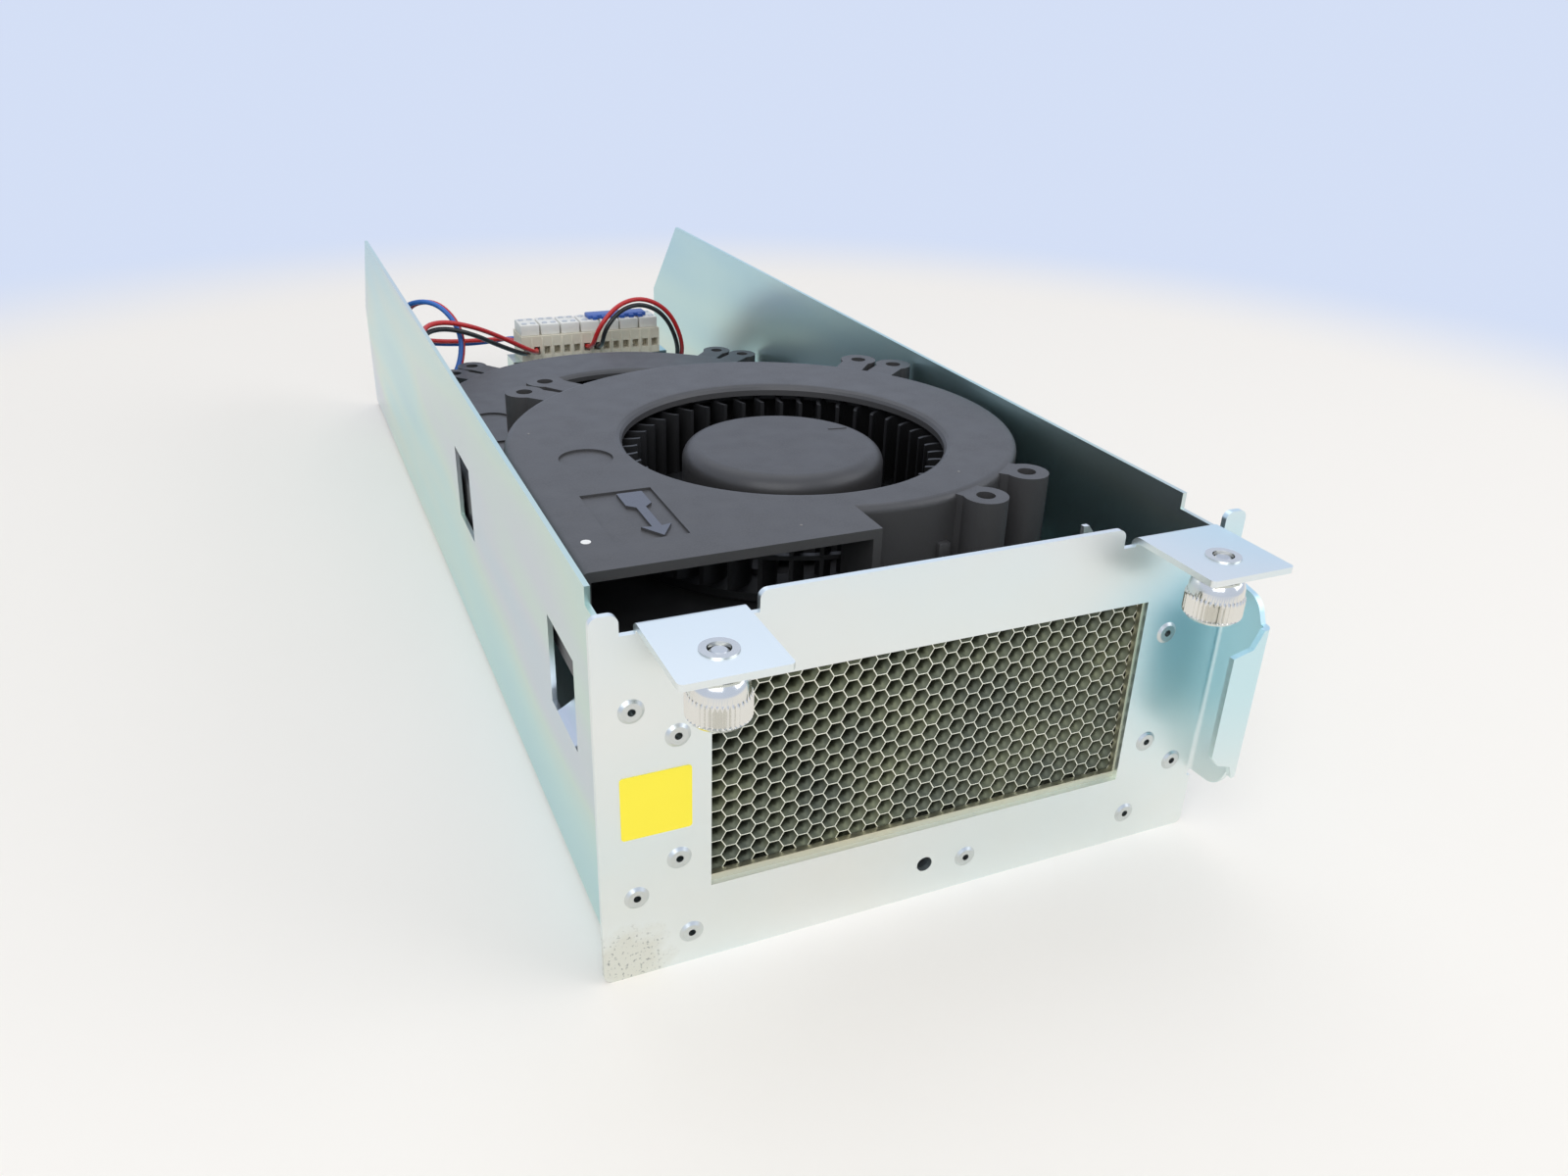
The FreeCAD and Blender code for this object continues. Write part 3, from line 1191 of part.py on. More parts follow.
upper_y = FRONT + S.blower_front
make_tray(stud_points(upper_y) + stud_points(upper_y + S.blower_pitch))
make_front_panel()
make_panel_trim()
make_vent()
make_thumbscrew("left", -1)
make_thumbscrew("right", 1)
make_blowers()
make_standoffs()
make_terminal_block()
make_wiring()
doc.recompute()

for thing in doc.Objects:
    if {"Invalid", "Error"} & set(thing.State):
        raise RuntimeError("%s failed: %s" % (thing.Label, thing.State))
os.makedirs("parts", exist_ok=True)
for node in NODES:
    shape = doc.getObjectsByLabel(node)[0].Shape
    if shape.isNull() or not shape.isValid():
        raise RuntimeError("%s has no valid shape" % node)
    shape.exportStep("parts/%s.step" % node)
print("%d nodes written" % len(NODES))
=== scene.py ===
"""Looks of a slide-in server fan module: zinc-plated tray, honeycomb vent and stacked blowers."""

import logging
import math
from dataclasses import dataclass
from enum import Enum

import bmesh
import bpy
from mathutils import Euler, Matrix, Vector


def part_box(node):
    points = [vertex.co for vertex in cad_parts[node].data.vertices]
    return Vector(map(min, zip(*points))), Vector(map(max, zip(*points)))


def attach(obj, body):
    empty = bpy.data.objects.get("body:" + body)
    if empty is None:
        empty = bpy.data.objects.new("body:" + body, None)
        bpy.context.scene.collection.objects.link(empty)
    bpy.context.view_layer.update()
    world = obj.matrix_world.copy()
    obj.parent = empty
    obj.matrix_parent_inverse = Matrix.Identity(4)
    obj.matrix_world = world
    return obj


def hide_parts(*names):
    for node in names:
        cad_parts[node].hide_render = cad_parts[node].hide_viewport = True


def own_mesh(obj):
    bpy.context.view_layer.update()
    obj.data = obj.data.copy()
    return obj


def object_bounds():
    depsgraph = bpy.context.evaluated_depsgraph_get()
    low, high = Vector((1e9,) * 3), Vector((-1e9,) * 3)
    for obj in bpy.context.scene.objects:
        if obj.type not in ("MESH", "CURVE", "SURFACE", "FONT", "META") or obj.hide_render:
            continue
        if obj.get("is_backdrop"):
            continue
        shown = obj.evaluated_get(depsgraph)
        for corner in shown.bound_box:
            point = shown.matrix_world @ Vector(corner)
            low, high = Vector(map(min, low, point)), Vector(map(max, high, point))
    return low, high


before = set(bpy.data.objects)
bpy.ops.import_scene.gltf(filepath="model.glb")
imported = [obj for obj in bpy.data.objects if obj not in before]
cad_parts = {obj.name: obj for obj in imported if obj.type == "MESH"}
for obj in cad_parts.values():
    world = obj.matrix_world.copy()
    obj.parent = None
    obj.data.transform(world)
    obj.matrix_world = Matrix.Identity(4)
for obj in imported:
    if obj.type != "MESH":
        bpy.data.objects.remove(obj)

LOG = logging.getLogger("fan_module")
MM = 0.001
ROOT = "chassis"
Colour = tuple[float, float, float]
Point = tuple[float, float, float]
Outline = tuple[tuple[float, float], ...]
Mesh = bmesh.types.BMesh
Socket = bpy.types.NodeSocket
Tree = bpy.types.NodeTree


# ---------------------------------------------------------------- shader tools


class Canvas:
    """A node tree under construction."""

    def __init__(self, tree: Tree) -> None:
        """Takes the tree that the nodes go into."""
        self.tree = tree

    def feed(self, value: object, socket: Socket) -> None:
        """Links an input to another socket, or gives it a plain value.

        Args:
            value: the socket, number, vector or colour.
            socket: the input that takes it.
        """
        if isinstance(value, Socket):
            self.tree.links.new(value, socket)
        elif isinstance(value, tuple) and socket.type == "RGBA":
            socket.default_value = (*value, 1.0)
        else:
            socket.default_value = value

    def node(self, kind: str, **values: object) -> bpy.types.Node:
        """Adds a node and feeds its inputs, or sets its own settings, by name.

        Args:
            kind: the node's type name.
            values: what goes in, with underscores for spaces in the inputs' names.

        Returns:
            The new node.
        """
        node = self.tree.nodes.new(kind)
        for name, value in values.items():
            label = name.replace("_", " ")
            if label in node.inputs:
                self.feed(value, node.inputs[label])
            else:
                setattr(node, name, value)
        return node

    def math(self, operation: str, *values: object, clamp: bool = False) -> Socket:
        """Joins sockets or plain numbers by one Math node.

        Args:
            operation: the Math node's operation.
            values: its sockets or plain numbers, in order.
            clamp: whether the result is held in 0..1.

        Returns:
            The result.
        """
        node = self.node("ShaderNodeMath", operation=operation, use_clamp=clamp)
        for value, socket in zip(values, node.inputs):
            self.feed(value, socket)
        return node.outputs["Value"]

    def times(self, first: Socket, second: Socket | float) -> Socket:
        """Multiplies a socket by another or by a plain number."""
        return self.math("MULTIPLY", first, second)

    def spread(self, value: Socket, low: float, high: float, curve: str = "LINEAR") -> Socket:
        """Stretches low..high of a socket over 0..1, clamped.

        Args:
            value: the socket.
            low: what becomes 0.
            high: what becomes 1.
            curve: the shape of the rise.

        Returns:
            The result.
        """
        node = self.node("ShaderNodeMapRange", interpolation_type=curve, Value=value,
                         From_Min=low, From_Max=high)
        return node.outputs["Result"]

    def blend(self, share: Socket, first: object, second: object) -> Socket:
        """Mixes two colours, each a socket or plain, by a share.

        Args:
            share: how much of the second is taken.
            first: the colour at share 0.
            second: the colour at share 1.

        Returns:
            The mixed colour.
        """
        node = self.node("ShaderNodeMix", data_type="RGBA")
        for index, value in ((0, share), (6, first), (7, second)):
            self.feed(value, node.inputs[index])
        return node.outputs[2]

    def length(self, vector: Socket) -> Socket:
        """Gives a vector's length.

        Args:
            vector: the vector.

        Returns:
            Its length.
        """
        node = self.node("ShaderNodeVectorMath", operation="LENGTH")
        self.feed(vector, node.inputs[0])
        return node.outputs["Value"]

    def seen(self) -> Socket:
        """Gives 1 for rays that show the surroundings: camera, glossy and transmission.

        Returns:
            The mask.
        """
        rays = self.node("ShaderNodeLightPath").outputs
        total = rays["Is Camera Ray"]
        for name in ("Is Glossy Ray", "Is Transmission Ray"):
            total = self.math("ADD", total, rays[name], clamp=True)
        return total

    def surface(self, output: str, share: Socket, first: Socket, second: Socket) -> None:
        """Mixes two shaders by a share into the surface of a named output node.

        Args:
            output: the output node's name.
            share: how much of the second is taken.
            first: the shader at share 0.
            second: the shader at share 1.
        """
        mixed = self.node("ShaderNodeMixShader", Fac=share)
        self.feed(first, mixed.inputs[1])
        self.feed(second, mixed.inputs[2])
        self.feed(mixed.outputs["Shader"], self.tree.nodes[output].inputs["Surface"])


class Shader(Canvas):
    """A material under construction: a Principled shader and the nodes that feed it."""

    def __init__(self, name: str) -> None:
        """Starts a material with one Principled shader.

        Args:
            name: the material's name.
        """
        self.material = bpy.data.materials.new(name)
        self.material.use_nodes = True
        super().__init__(self.material.node_tree)
        self.principled = self.tree.nodes["Principled BSDF"]

    def set(self, **values: object) -> None:
        """Feeds the Principled shader's inputs, named with underscores for spaces."""
        for name, value in values.items():
            self.feed(value, self.principled.inputs[name.replace("_", " ")])

    def place(self, centre: Point | None = None) -> Socket:
        """Gives Object coordinates, moved so that centre, if given, is the origin.

        Args:
            centre: the new origin, in the frame's metres.

        Returns:
            The coordinates.
        """
        coords = self.node("ShaderNodeTexCoord").outputs["Object"]
        if centre is None:
            return coords
        mapping = self.node("ShaderNodeMapping", vector_type="TEXTURE", Location=centre,
                            Vector=coords)
        return mapping.outputs["Vector"]

    def group(self, tree: Tree, **values: object) -> bpy.types.Node:
        """Places a node group with its own values."""
        return self.node("ShaderNodeGroup", node_tree=tree, **values)

    def reach(self, centre: Point, near: float, far: float, flat: bool = False) -> Socket:
        """Gives 0 nearer to a point than near and 1 beyond far, with a smooth rise between.

        Args:
            centre: the point, in the frame's metres.
            near: where the rise begins.
            far: where it ends.
            flat: whether height is left out, so that the point is an upright axis.

        Returns:
            The mask.
        """
        vector = self.place(centre)
        if flat:
            level = self.node("ShaderNodeVectorMath", operation="MULTIPLY")
            self.feed(vector, level.inputs[0])
            self.feed((1.0, 1.0, 0.0), level.inputs[1])
            vector = level.outputs["Vector"]
        return self.spread(self.length(vector), near, far, "SMOOTHSTEP")

    def bump(self, height: Socket, distance: float) -> None:
        """Feeds a height, in metres of relief, to the shader's normal."""
        bump = self.node("ShaderNodeBump", Strength=1.0, Distance=distance, Height=height)
        self.set(Normal=bump.outputs["Normal"])


class Group(Canvas):
    """A shader node group with named inputs and outputs."""

    def __init__(self, name: str, inputs: dict[str, object], *outputs: str) -> None:
        """Makes the group's sockets.

        Args:
            name: the group's name.
            inputs: default values by socket name; the Vector input comes by itself.
            outputs: the outputs' names; the one named Color is a colour, the rest are masks.
        """
        super().__init__(bpy.data.node_groups.new(name, "ShaderNodeTree"))
        sockets = self.tree.interface
        sockets.new_socket("Vector", in_out="INPUT", socket_type="NodeSocketVector")
        for label, value in inputs.items():
            kind = "NodeSocketColor" if isinstance(value, tuple) else "NodeSocketFloat"
            socket = sockets.new_socket(label, in_out="INPUT", socket_type=kind)
            socket.default_value = (*value, 1.0) if isinstance(value, tuple) else value
        for label in outputs:
            kind = "NodeSocketColor" if label == "Color" else "NodeSocketFloat"
            sockets.new_socket(label, in_out="OUTPUT", socket_type=kind)
        self.source = self.node("NodeGroupInput").outputs
        self.target = self.node("NodeGroupOutput").inputs

    def noise(self, scale: float | str, detail: float, squash: Point | None = None) -> Socket:
        """Noise on the group's Vector input.

        Args:
            scale: cells per metre, or the name of the input that gives it.
            detail: octaves.
            squash: how the pattern is pressed together along each axis.

        Returns:
            The noise's factor.
        """
        vector = self.source["Vector"]
        if squash is not None:
            mapping = self.node("ShaderNodeMapping", Scale=squash, Vector=vector)
            vector = mapping.outputs["Vector"]
        scale = self.source[scale] if isinstance(scale, str) else scale
        node = self.node("ShaderNodeTexNoise", Detail=detail, Vector=vector, Scale=scale)
        return node.outputs["Fac"]

    def give(self, **outputs: Socket) -> Tree:
        """Feeds the group's outputs and hands over its tree.

        Args:
            outputs: what each output gives.

        Returns:
            The group's tree.
        """
        for label, value in outputs.items():
            self.feed(value, self.target[label])
        return self.tree


def make_tint_group() -> Tree:
    """Colour that drifts between a base and two tints, as thin chromate films do.

    Returns:
        The group's tree.
    """
    group = Group("drifting_tint", {
        "Scale": 14.0, "Base": (0.7, 0.7, 0.7), "Cool": (0.5, 0.7, 0.75),
        "Warm": (0.75, 0.68, 0.6), "Amount": 0.4}, "Color")
    broad = group.noise("Scale", 2.0, (1.0, 0.45, 1.6))
    fine = group.noise(95.0, 4.0, (1.0, 0.5, 1.0))
    cool = group.times(group.spread(broad, 0.36, 0.62), group.source["Amount"])
    warm = group.times(group.spread(fine, 0.42, 0.78), group.source["Amount"])
    cooled = group.blend(cool, group.source["Base"], group.source["Cool"])
    warmed = group.blend(group.times(warm, 0.55), cooled, group.source["Warm"])
    return group.give(Color=warmed)


FILM_STOPS = ((0.30, (0.40, 0.66, 0.70)), (0.42, (0.54, 0.76, 0.70)), (0.50, (0.68, 0.76, 0.62)),
              (0.57, (0.70, 0.64, 0.70)), (0.72, (0.48, 0.60, 0.78)))


def make_film_group() -> Tree:
    """Thin-film colours of clear chromate on zinc, in long soft bands along Y.

    Returns:
        The group's tree.
    """
    group = Group("chromate_film", {"Scale": 13.0, "Base": (0.7, 0.76, 0.76), "Amount": 0.5},
                  "Color")
    ramp = group.node("ShaderNodeValToRGB", Fac=group.noise("Scale", 2.0, (1.0, 0.14, 1.0)))
    stops = ramp.color_ramp.elements
    for stop, (place, colour) in zip(stops, (FILM_STOPS[0], FILM_STOPS[-1])):
        stop.position, stop.color = place, (*colour, 1.0)
    for place, colour in FILM_STOPS[1:-1]:
        stops.new(place).color = (*colour, 1.0)
    mixed = group.blend(group.source["Amount"], group.source["Base"], ramp.outputs["Color"])
    return group.give(Color=mixed)


def make_grain_group() -> Tree:
    """Fine moulded or rolled grain: a height and a mask of the same grain.

    Returns:
        The group's tree.
    """
    group = Group("fine_grain", {"Scale": 2200.0}, "Height", "Mask")
    grain = group.noise("Scale", 3.0)
    cloud = group.spread(group.noise(160.0, 3.0), 0.3, 0.7)
    return group.give(Height=grain,
                      Mask=group.times(group.spread(grain, 0.3, 0.7), cloud))


def make_scuff_group() -> Tree:
    """Fine handling scuffs in two directions, as a mask.

    Returns:
        The group's tree.
    """
    group = Group("scuffs", {"Coverage": 0.4}, "Mask")
    along = group.spread(group.noise(60.0, 4.0, (1.0, 14.0, 14.0)), 0.62, 0.72)
    across = group.spread(group.noise(52.0, 4.0, (13.0, 1.5, 6.0)), 0.63, 0.72)
    patches = group.spread(group.noise(22.0, 2.0), 0.42, 0.62)
    masked = group.times(group.math("MAXIMUM", along, across), patches)
    return group.give(Mask=group.times(masked, group.source["Coverage"]))


def make_dust_group() -> Tree:
    """Thin dust on faces that look upwards, as a mask.

    Returns:
        The group's tree.
    """
    group = Group("settled_dust", {"Amount": 0.3}, "Mask")
    geometry = group.node("ShaderNodeNewGeometry")
    normal = group.node("ShaderNodeSeparateXYZ", Vector=geometry.outputs["Normal"])
    upward = group.spread(normal.outputs["Z"], 0.2, 1.0)
    cloud = group.spread(group.noise(210.0, 6.0), 0.38, 0.75)
    dust = group.times(upward, cloud)
    return group.give(Mask=group.times(dust, group.source["Amount"]))


def make_speckle_group() -> Tree:
    """A dulled, speckled patch that fades out from a point, as white rust on zinc does.

    Returns:
        The group's tree.
    """
    group = Group("speckled_patch", {"Reach": 0.012}, "Film", "Dots")
    ratio = group.math("DIVIDE", group.length(group.source["Vector"]), group.source["Reach"])
    ragged = group.math("ADD", ratio, group.times(group.noise(240.0, 3.0), 0.8))
    near = group.math("SUBTRACT", 1.0, group.spread(ragged, 0.95, 1.5))
    dots = group.spread(group.noise(1500.0, 3.0), 0.58, 0.66)
    return group.give(Film=near, Dots=group.times(near, dots))


@dataclass(frozen=True)
class Groups:
    """The node groups that the finishes share."""

    tint: Tree
    film: Tree
    grain: Tree
    scuff: Tree
    dust: Tree
    speckle: Tree


GROUPS = Groups(make_tint_group(), make_film_group(), make_grain_group(), make_scuff_group(),
                make_dust_group(), make_speckle_group())


# ---------------------------------------------------------------- finishes


SCUFF_ROUGHNESS = 0.22
GRAIN_ROUGHNESS = 0.14
COAT_ROUGHNESS = 0.2
SPOT_SHARE = 0.9
PLASTIC_TINT_SCALE = 26.0
PLASTIC_TINT_AMOUNT = 0.7
RUST_REACH = 0.0085
RUST_FILM = (0.70, 0.70, 0.62)
RUST_DOTS = (0.36, 0.37, 0.34)
RUST_ROUGHNESS = 0.3
RUST_METAL_LOSS = 0.5


@dataclass(frozen=True)
class PlatedFinish:
    """Plated sheet or turned metal: a tinted film, fine grain and light scuffs.

    Without a cool and a warm tint it takes the colours of a thin film.
    """

    name: str
    base: Colour
    cool: Colour | None = None
    warm: Colour | None = None
    amount: float = 0.35
    roughness: float = 0.3
    tint_scale: float = 14.0
    grain_scale: float = 1500.0
    relief: float = 0.000006
    mottle: float = 0.05
    scuffs: float = 0.4
    metallic: float = 1.0
    patch: Point | None = None
    cool_spot: tuple[Point, float, float] | None = None

    def build(self) -> bpy.types.Material:
        """Builds the material.

        Returns:
            The finished material.
        """
        shader = Shader(self.name)
        place = shader.place()
        tints = {"Cool": self.cool, "Warm": self.warm} if self.cool else {}
        tint = shader.group(GROUPS.tint if self.cool else GROUPS.film, Vector=place,
                            Scale=self.tint_scale, Base=self.base, Amount=self.amount, **tints)
        grain = shader.group(GROUPS.grain, Vector=place, Scale=self.grain_scale)
        scuff = shader.group(GROUPS.scuff, Vector=place, Coverage=self.scuffs)
        rough = shader.math("MULTIPLY_ADD", scuff.outputs["Mask"], SCUFF_ROUGHNESS,
                            self.roughness)
        rough = shader.math("MULTIPLY_ADD", grain.outputs["Mask"], self.mottle, rough)
        colour = tint.outputs["Color"]
        if self.cool_spot is not None:
            near = shader.math("MULTIPLY_ADD", shader.reach(*self.cool_spot), -SPOT_SHARE,
                               SPOT_SHARE)
            colour = shader.blend(near, colour, self.cool)
        shader.set(Metallic=self.metallic, Base_Color=colour, Roughness=rough)
        if self.patch is not None:
            self.add_patch(shader, colour, rough)
        shader.bump(grain.outputs["Height"], self.relief)
        return shader.material

    def add_patch(self, shader: Shader, colour: Socket, rough: Socket) -> None:
        """Dulls and speckles the metal round the patch's centre.

        Args:
            shader: the material under construction.
            colour: the sound metal's colour.
            rough: the sound metal's roughness.
        """
        rust = shader.group(GROUPS.speckle, Vector=shader.place(self.patch), Reach=RUST_REACH)
        patch = rust.outputs["Film"]
        dulled = shader.blend(patch, colour, RUST_FILM)
        shader.set(Base_Color=shader.blend(rust.outputs["Dots"], dulled, RUST_DOTS),
                   Roughness=shader.math("MULTIPLY_ADD", patch, RUST_ROUGHNESS, rough,
                                         clamp=True),
                   Metallic=shader.math("MULTIPLY_ADD", patch, -RUST_METAL_LOSS, 1.0))


@dataclass(frozen=True)
class MouldedFinish:
    """Moulded plastic, film or soft insulation: colour drift, fine grain and settled dust, and,
    where deep is given, painted shade that turns the colour near-black beyond a distance from an
    upright axis.
    """

    name: str
    base: Colour
    shade: Colour
    roughness: float = 0.45
    grain_scale: float = 2600.0
    relief: float = 0.00002
    dust: float = 0.2
    dust_colour: Colour = (0.28, 0.27, 0.25)
    coat: float = 0.0
    # deep and the colour after it are painted shade: beyond the far distance from the upright
    # axis through the point, the colour turns near-black.
    deep: tuple[Point, float, float] | None = None
    painted_shade_colour: Colour = (0.010, 0.010, 0.0105)

    def build(self) -> bpy.types.Material:
        """Builds the material.

        Returns:
            The finished material.
        """
        shader = Shader(self.name)
        place = shader.place()
        tint = shader.group(GROUPS.tint, Vector=place, Scale=PLASTIC_TINT_SCALE, Base=self.base,
                            Cool=self.shade, Warm=self.base, Amount=PLASTIC_TINT_AMOUNT)
        grain = shader.group(GROUPS.grain, Vector=place, Scale=self.grain_scale)
        dust = shader.group(GROUPS.dust, Vector=place, Amount=self.dust)
        colour = shader.blend(dust.outputs["Mask"], tint.outputs["Color"], self.dust_colour)
        # Painted shade: beyond the far distance from the upright axis the colour is blended to
        # the near-black shade colour.
        if self.deep is not None:
            colour = shader.blend(shader.reach(*self.deep, flat=True), colour, self.painted_shade_colour)
        rough = shader.math("MULTIPLY_ADD", grain.outputs["Mask"], GRAIN_ROUGHNESS,
                            self.roughness)
        shader.set(Base_Color=colour, Roughness=rough, Coat_Weight=self.coat,
                   Coat_Roughness=COAT_ROUGHNESS)
        shader.bump(grain.outputs["Height"], self.relief)
        return shader.material


def wheel_finish(name: str, back: float) -> MouldedFinish:
    """Gives the charcoal of a wheel whose blades, beyond the hub, are darkened with painted
    shade.

    Args:
        name: the material's name.
        back: the place of the wheel's axis along Y.

    Returns:
        The finish.
    """
    # The deep argument paints shade on the blades, near-black beyond 23.6 to 25 mm from the axis.
    return MouldedFinish(name, (0.042, 0.041, 0.042), (0.046, 0.045, 0.046), 0.44, dust=0.03,
                         coat=0.1, deep=((0.0027, back, 0.0), 0.0236, 0.0250))


def insulation(name: str, base: Colour, shade: Colour, roughness: float) -> MouldedFinish:
    """Gives the finish of a lead's smooth insulation in one colour."""
    return MouldedFinish(name, base, shade, roughness, 900.0, 0.00001, 0.1)


class Metal(Enum):
    """The metals of the module."""

    ZINC = PlatedFinish("zinc_sheet", (0.60, 0.76, 0.76), amount=0.55, roughness=0.33,
                        tint_scale=24.0, relief=0.000003, mottle=0.02, scuffs=0.06)
    PANEL = PlatedFinish("zinc_panel", (0.84, 0.86, 0.83), (0.60, 0.82, 0.86),
                         (0.82, 0.80, 0.70), 0.22, 0.36, relief=0.000003, mottle=0.02,
                         scuffs=0.06, patch=(-0.0605, -0.1787, 0.0035),
                         cool_spot=((0.064, -0.180, 0.050), 0.012, 0.038))
    # The rivets are the panel's zinc; their darker, greyer colour is painted shade standing in
    # for the shadow that outlines them.
    RIVET_PAINTED_SHADE = PlatedFinish("zinc_rivet_painted_shade", (0.64, 0.67, 0.65), (0.56, 0.62, 0.63),
                         (0.68, 0.64, 0.56), 0.25, 0.30, relief=0.000003, scuffs=0.1)
    VENT = PlatedFinish("warm_zinc", (0.66, 0.62, 0.46), (0.58, 0.58, 0.46),
                        (0.76, 0.66, 0.42), 0.5, 0.42, scuffs=0.2)
    # The foil's faces and cut edges are lit and shaded copies of one gold-olive foil: the faces'
    # olive tint is the foil's own and their darkness is painted shade of the deep cells; the
    # edges' near-white is a painted highlight.
    FOIL_PAINTED_SHADE = PlatedFinish("honeycomb_foil", (0.125, 0.135, 0.085), (0.075, 0.085, 0.065),
                        (0.24, 0.25, 0.13), 0.7, 0.46, tint_scale=60.0, mottle=0.06,
                        scuffs=0.1, metallic=0.7)
    EDGE = PlatedFinish("foil_edge_painted_highlight", (0.90, 0.89, 0.76), (0.76, 0.82, 0.70),
                        (0.94, 0.88, 0.66), 0.3, 0.40, tint_scale=60.0, scuffs=0.1,
                        metallic=0.5)
    NICKEL = PlatedFinish("bright_nickel", (0.76, 0.75, 0.70), (0.70, 0.72, 0.72),
                          (0.80, 0.74, 0.66), 0.3, 0.16, relief=0.000003, scuffs=0.2)
    STEEL = PlatedFinish("plain_steel", (0.62, 0.63, 0.62), (0.52, 0.56, 0.58),
                         (0.64, 0.60, 0.54), 0.3, 0.30)
    SPRING = PlatedFinish("spring_wire", (0.50, 0.50, 0.50), (0.42, 0.44, 0.46),
                          (0.54, 0.50, 0.45), 0.3, 0.32)
    COPPER = PlatedFinish("winding_wire", (0.72, 0.36, 0.20), (0.60, 0.28, 0.15),
                          (0.80, 0.45, 0.25), 0.5, 0.30, grain_scale=900.0, relief=0.00008)


class Plastic(Enum):
    """The plastics, films and insulation of the module."""

    HOUSING = MouldedFinish("charcoal_housing", (0.050, 0.049, 0.050), (0.054, 0.053, 0.054),
                            0.44, dust=0.03, coat=0.1)
    # The wheels' blades carry painted shade: near-black beyond the hub, with the charcoal hub
    # left as it is.
    UPPER_WHEEL = wheel_finish("upper_wheel_painted_shade", -0.0985)
    LOWER_WHEEL = wheel_finish("lower_wheel_painted_shade", 0.0125)
    # The arrow is the housing's plastic moulded smoother; its lower roughness is real, and its
    # lighter, bluer colour is a painted sheen, the tent's reflection on its smooth face.
    ARROW = MouldedFinish("smooth_arrow_painted_sheen", (0.085, 0.095, 0.125), (0.080, 0.090, 0.118), 0.30,
                          dust=0.02)
    FILM = MouldedFinish("yellow_film", (0.93, 0.80, 0.035), (0.90, 0.76, 0.03), 0.38,
                         1400.0, 0.000006, 0.04, (0.7, 0.62, 0.4), 0.25)
    CREAM = MouldedFinish("cream_moulding", (0.74, 0.70, 0.58), (0.66, 0.61, 0.48), 0.42,
                          dust=0.25, dust_colour=(0.45, 0.42, 0.36))
    WHITE = MouldedFinish("white_clamp", (0.80, 0.80, 0.77), (0.72, 0.71, 0.66), 0.40,
                          dust=0.2, dust_colour=(0.5, 0.48, 0.44))
    BLUE_SLEEVE = MouldedFinish("blue_sleeve", (0.04, 0.12, 0.45), (0.03, 0.09, 0.36), 0.35)
    BOARD = MouldedFinish("green_board", (0.02, 0.13, 0.06), (0.015, 0.10, 0.045), 0.35)
    MAGNET = MouldedFinish("bonded_magnet", (0.05, 0.047, 0.045), (0.04, 0.038, 0.036), 0.6)
    RED = insulation("red_insulation", (0.58, 0.02, 0.02), (0.46, 0.012, 0.014), 0.34)
    BLACK = insulation("black_insulation", (0.016, 0.016, 0.017), (0.024, 0.023, 0.023), 0.36)
    BLUE = insulation("blue_insulation", (0.03, 0.15, 0.52), (0.025, 0.11, 0.42), 0.34)
    # The pips are the housing's plastic; their lighter grey is a painted glint on their small
    # domes.
    PIP_PAINTED_GLINT = MouldedFinish("pip_painted_glint", (0.20, 0.19, 0.18), (0.16, 0.155, 0.15), 0.5)
    PAINT = MouldedFinish("white_dot_paint", (0.86, 0.86, 0.84), (0.80, 0.80, 0.78), 0.5)


Finish = Metal | Plastic
_made: dict[str, bpy.types.Material] = {}


def material(finish: Finish) -> bpy.types.Material:
    """Gives a finish's material, built once.

    Args:
        finish: a member of Metal or Plastic.

    Returns:
        The material.
    """
    recipe = finish.value
    if recipe.name not in _made:
        _made[recipe.name] = recipe.build()
    return _made[recipe.name]


# ---------------------------------------------------------------- modelling tools


def dress(finish: Finish, *nodes: str) -> None:
    """Gives carried-over CAD nodes a finish.

    Args:
        finish: the finish.
        nodes: names of nodes of the frame.
    """
    for name in nodes:
        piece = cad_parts[name]
        if not piece.material_slots:
            piece.data.materials.append(None)
        for slot in piece.material_slots:
            slot.material = material(finish)
        LOG.info("dressed %s in %s", name, finish.value.name)


def lathe(profile: list[tuple[float, float]], steps: int) -> Mesh:
    """Turns a closed profile of (radius, height) points about Z.

    Args:
        profile: the points in metres, in order.
        steps: segments round the axis.

    Returns:
        The turned mesh.
    """
    bm = bmesh.new()
    ring = [bm.verts.new((radius, 0.0, height)) for radius, height in profile]
    edges = [bm.edges.new(pair) for pair in zip(ring, ring[1:] + ring[:1])]
    bmesh.ops.spin(bm, geom=ring + edges, cent=(0, 0, 0), axis=(0, 0, 1),
                   angle=math.tau, steps=steps, use_merge=True)
    bmesh.ops.remove_doubles(bm, verts=bm.verts, dist=1e-7)
    bmesh.ops.dissolve_degenerate(bm, dist=1e-8, edges=bm.edges)
    return bm


def round_edges(bm: Mesh, edges: list[bmesh.types.BMEdge], radius: float, steps: int) -> None:
    """Rounds some of a mesh's edges.

    Args:
        bm: the mesh.
        edges: its edges to round.
        radius: how far the rounding reaches.
        steps: segments across it.
    """
    bmesh.ops.bevel(bm, geom=edges, offset=radius, segments=steps, affect="EDGES", profile=0.5,
                    material=-1)


def block(low: Vector, high: Vector, bevel: float = 0.0) -> Mesh:
    """A box between two corners with rounded edges.

    Args:
        low: the lowest corner.
        high: the highest corner.
        bevel: radius of the edges.

    Returns:
        The mesh.
    """
    bm = bmesh.new()
    bmesh.ops.create_cube(bm, size=1.0)
    bmesh.ops.scale(bm, vec=high - low, verts=bm.verts)
    bmesh.ops.translate(bm, vec=(low + high) / 2, verts=bm.verts)
    if bevel:
        round_edges(bm, bm.edges[:], bevel, 2)
    return bm


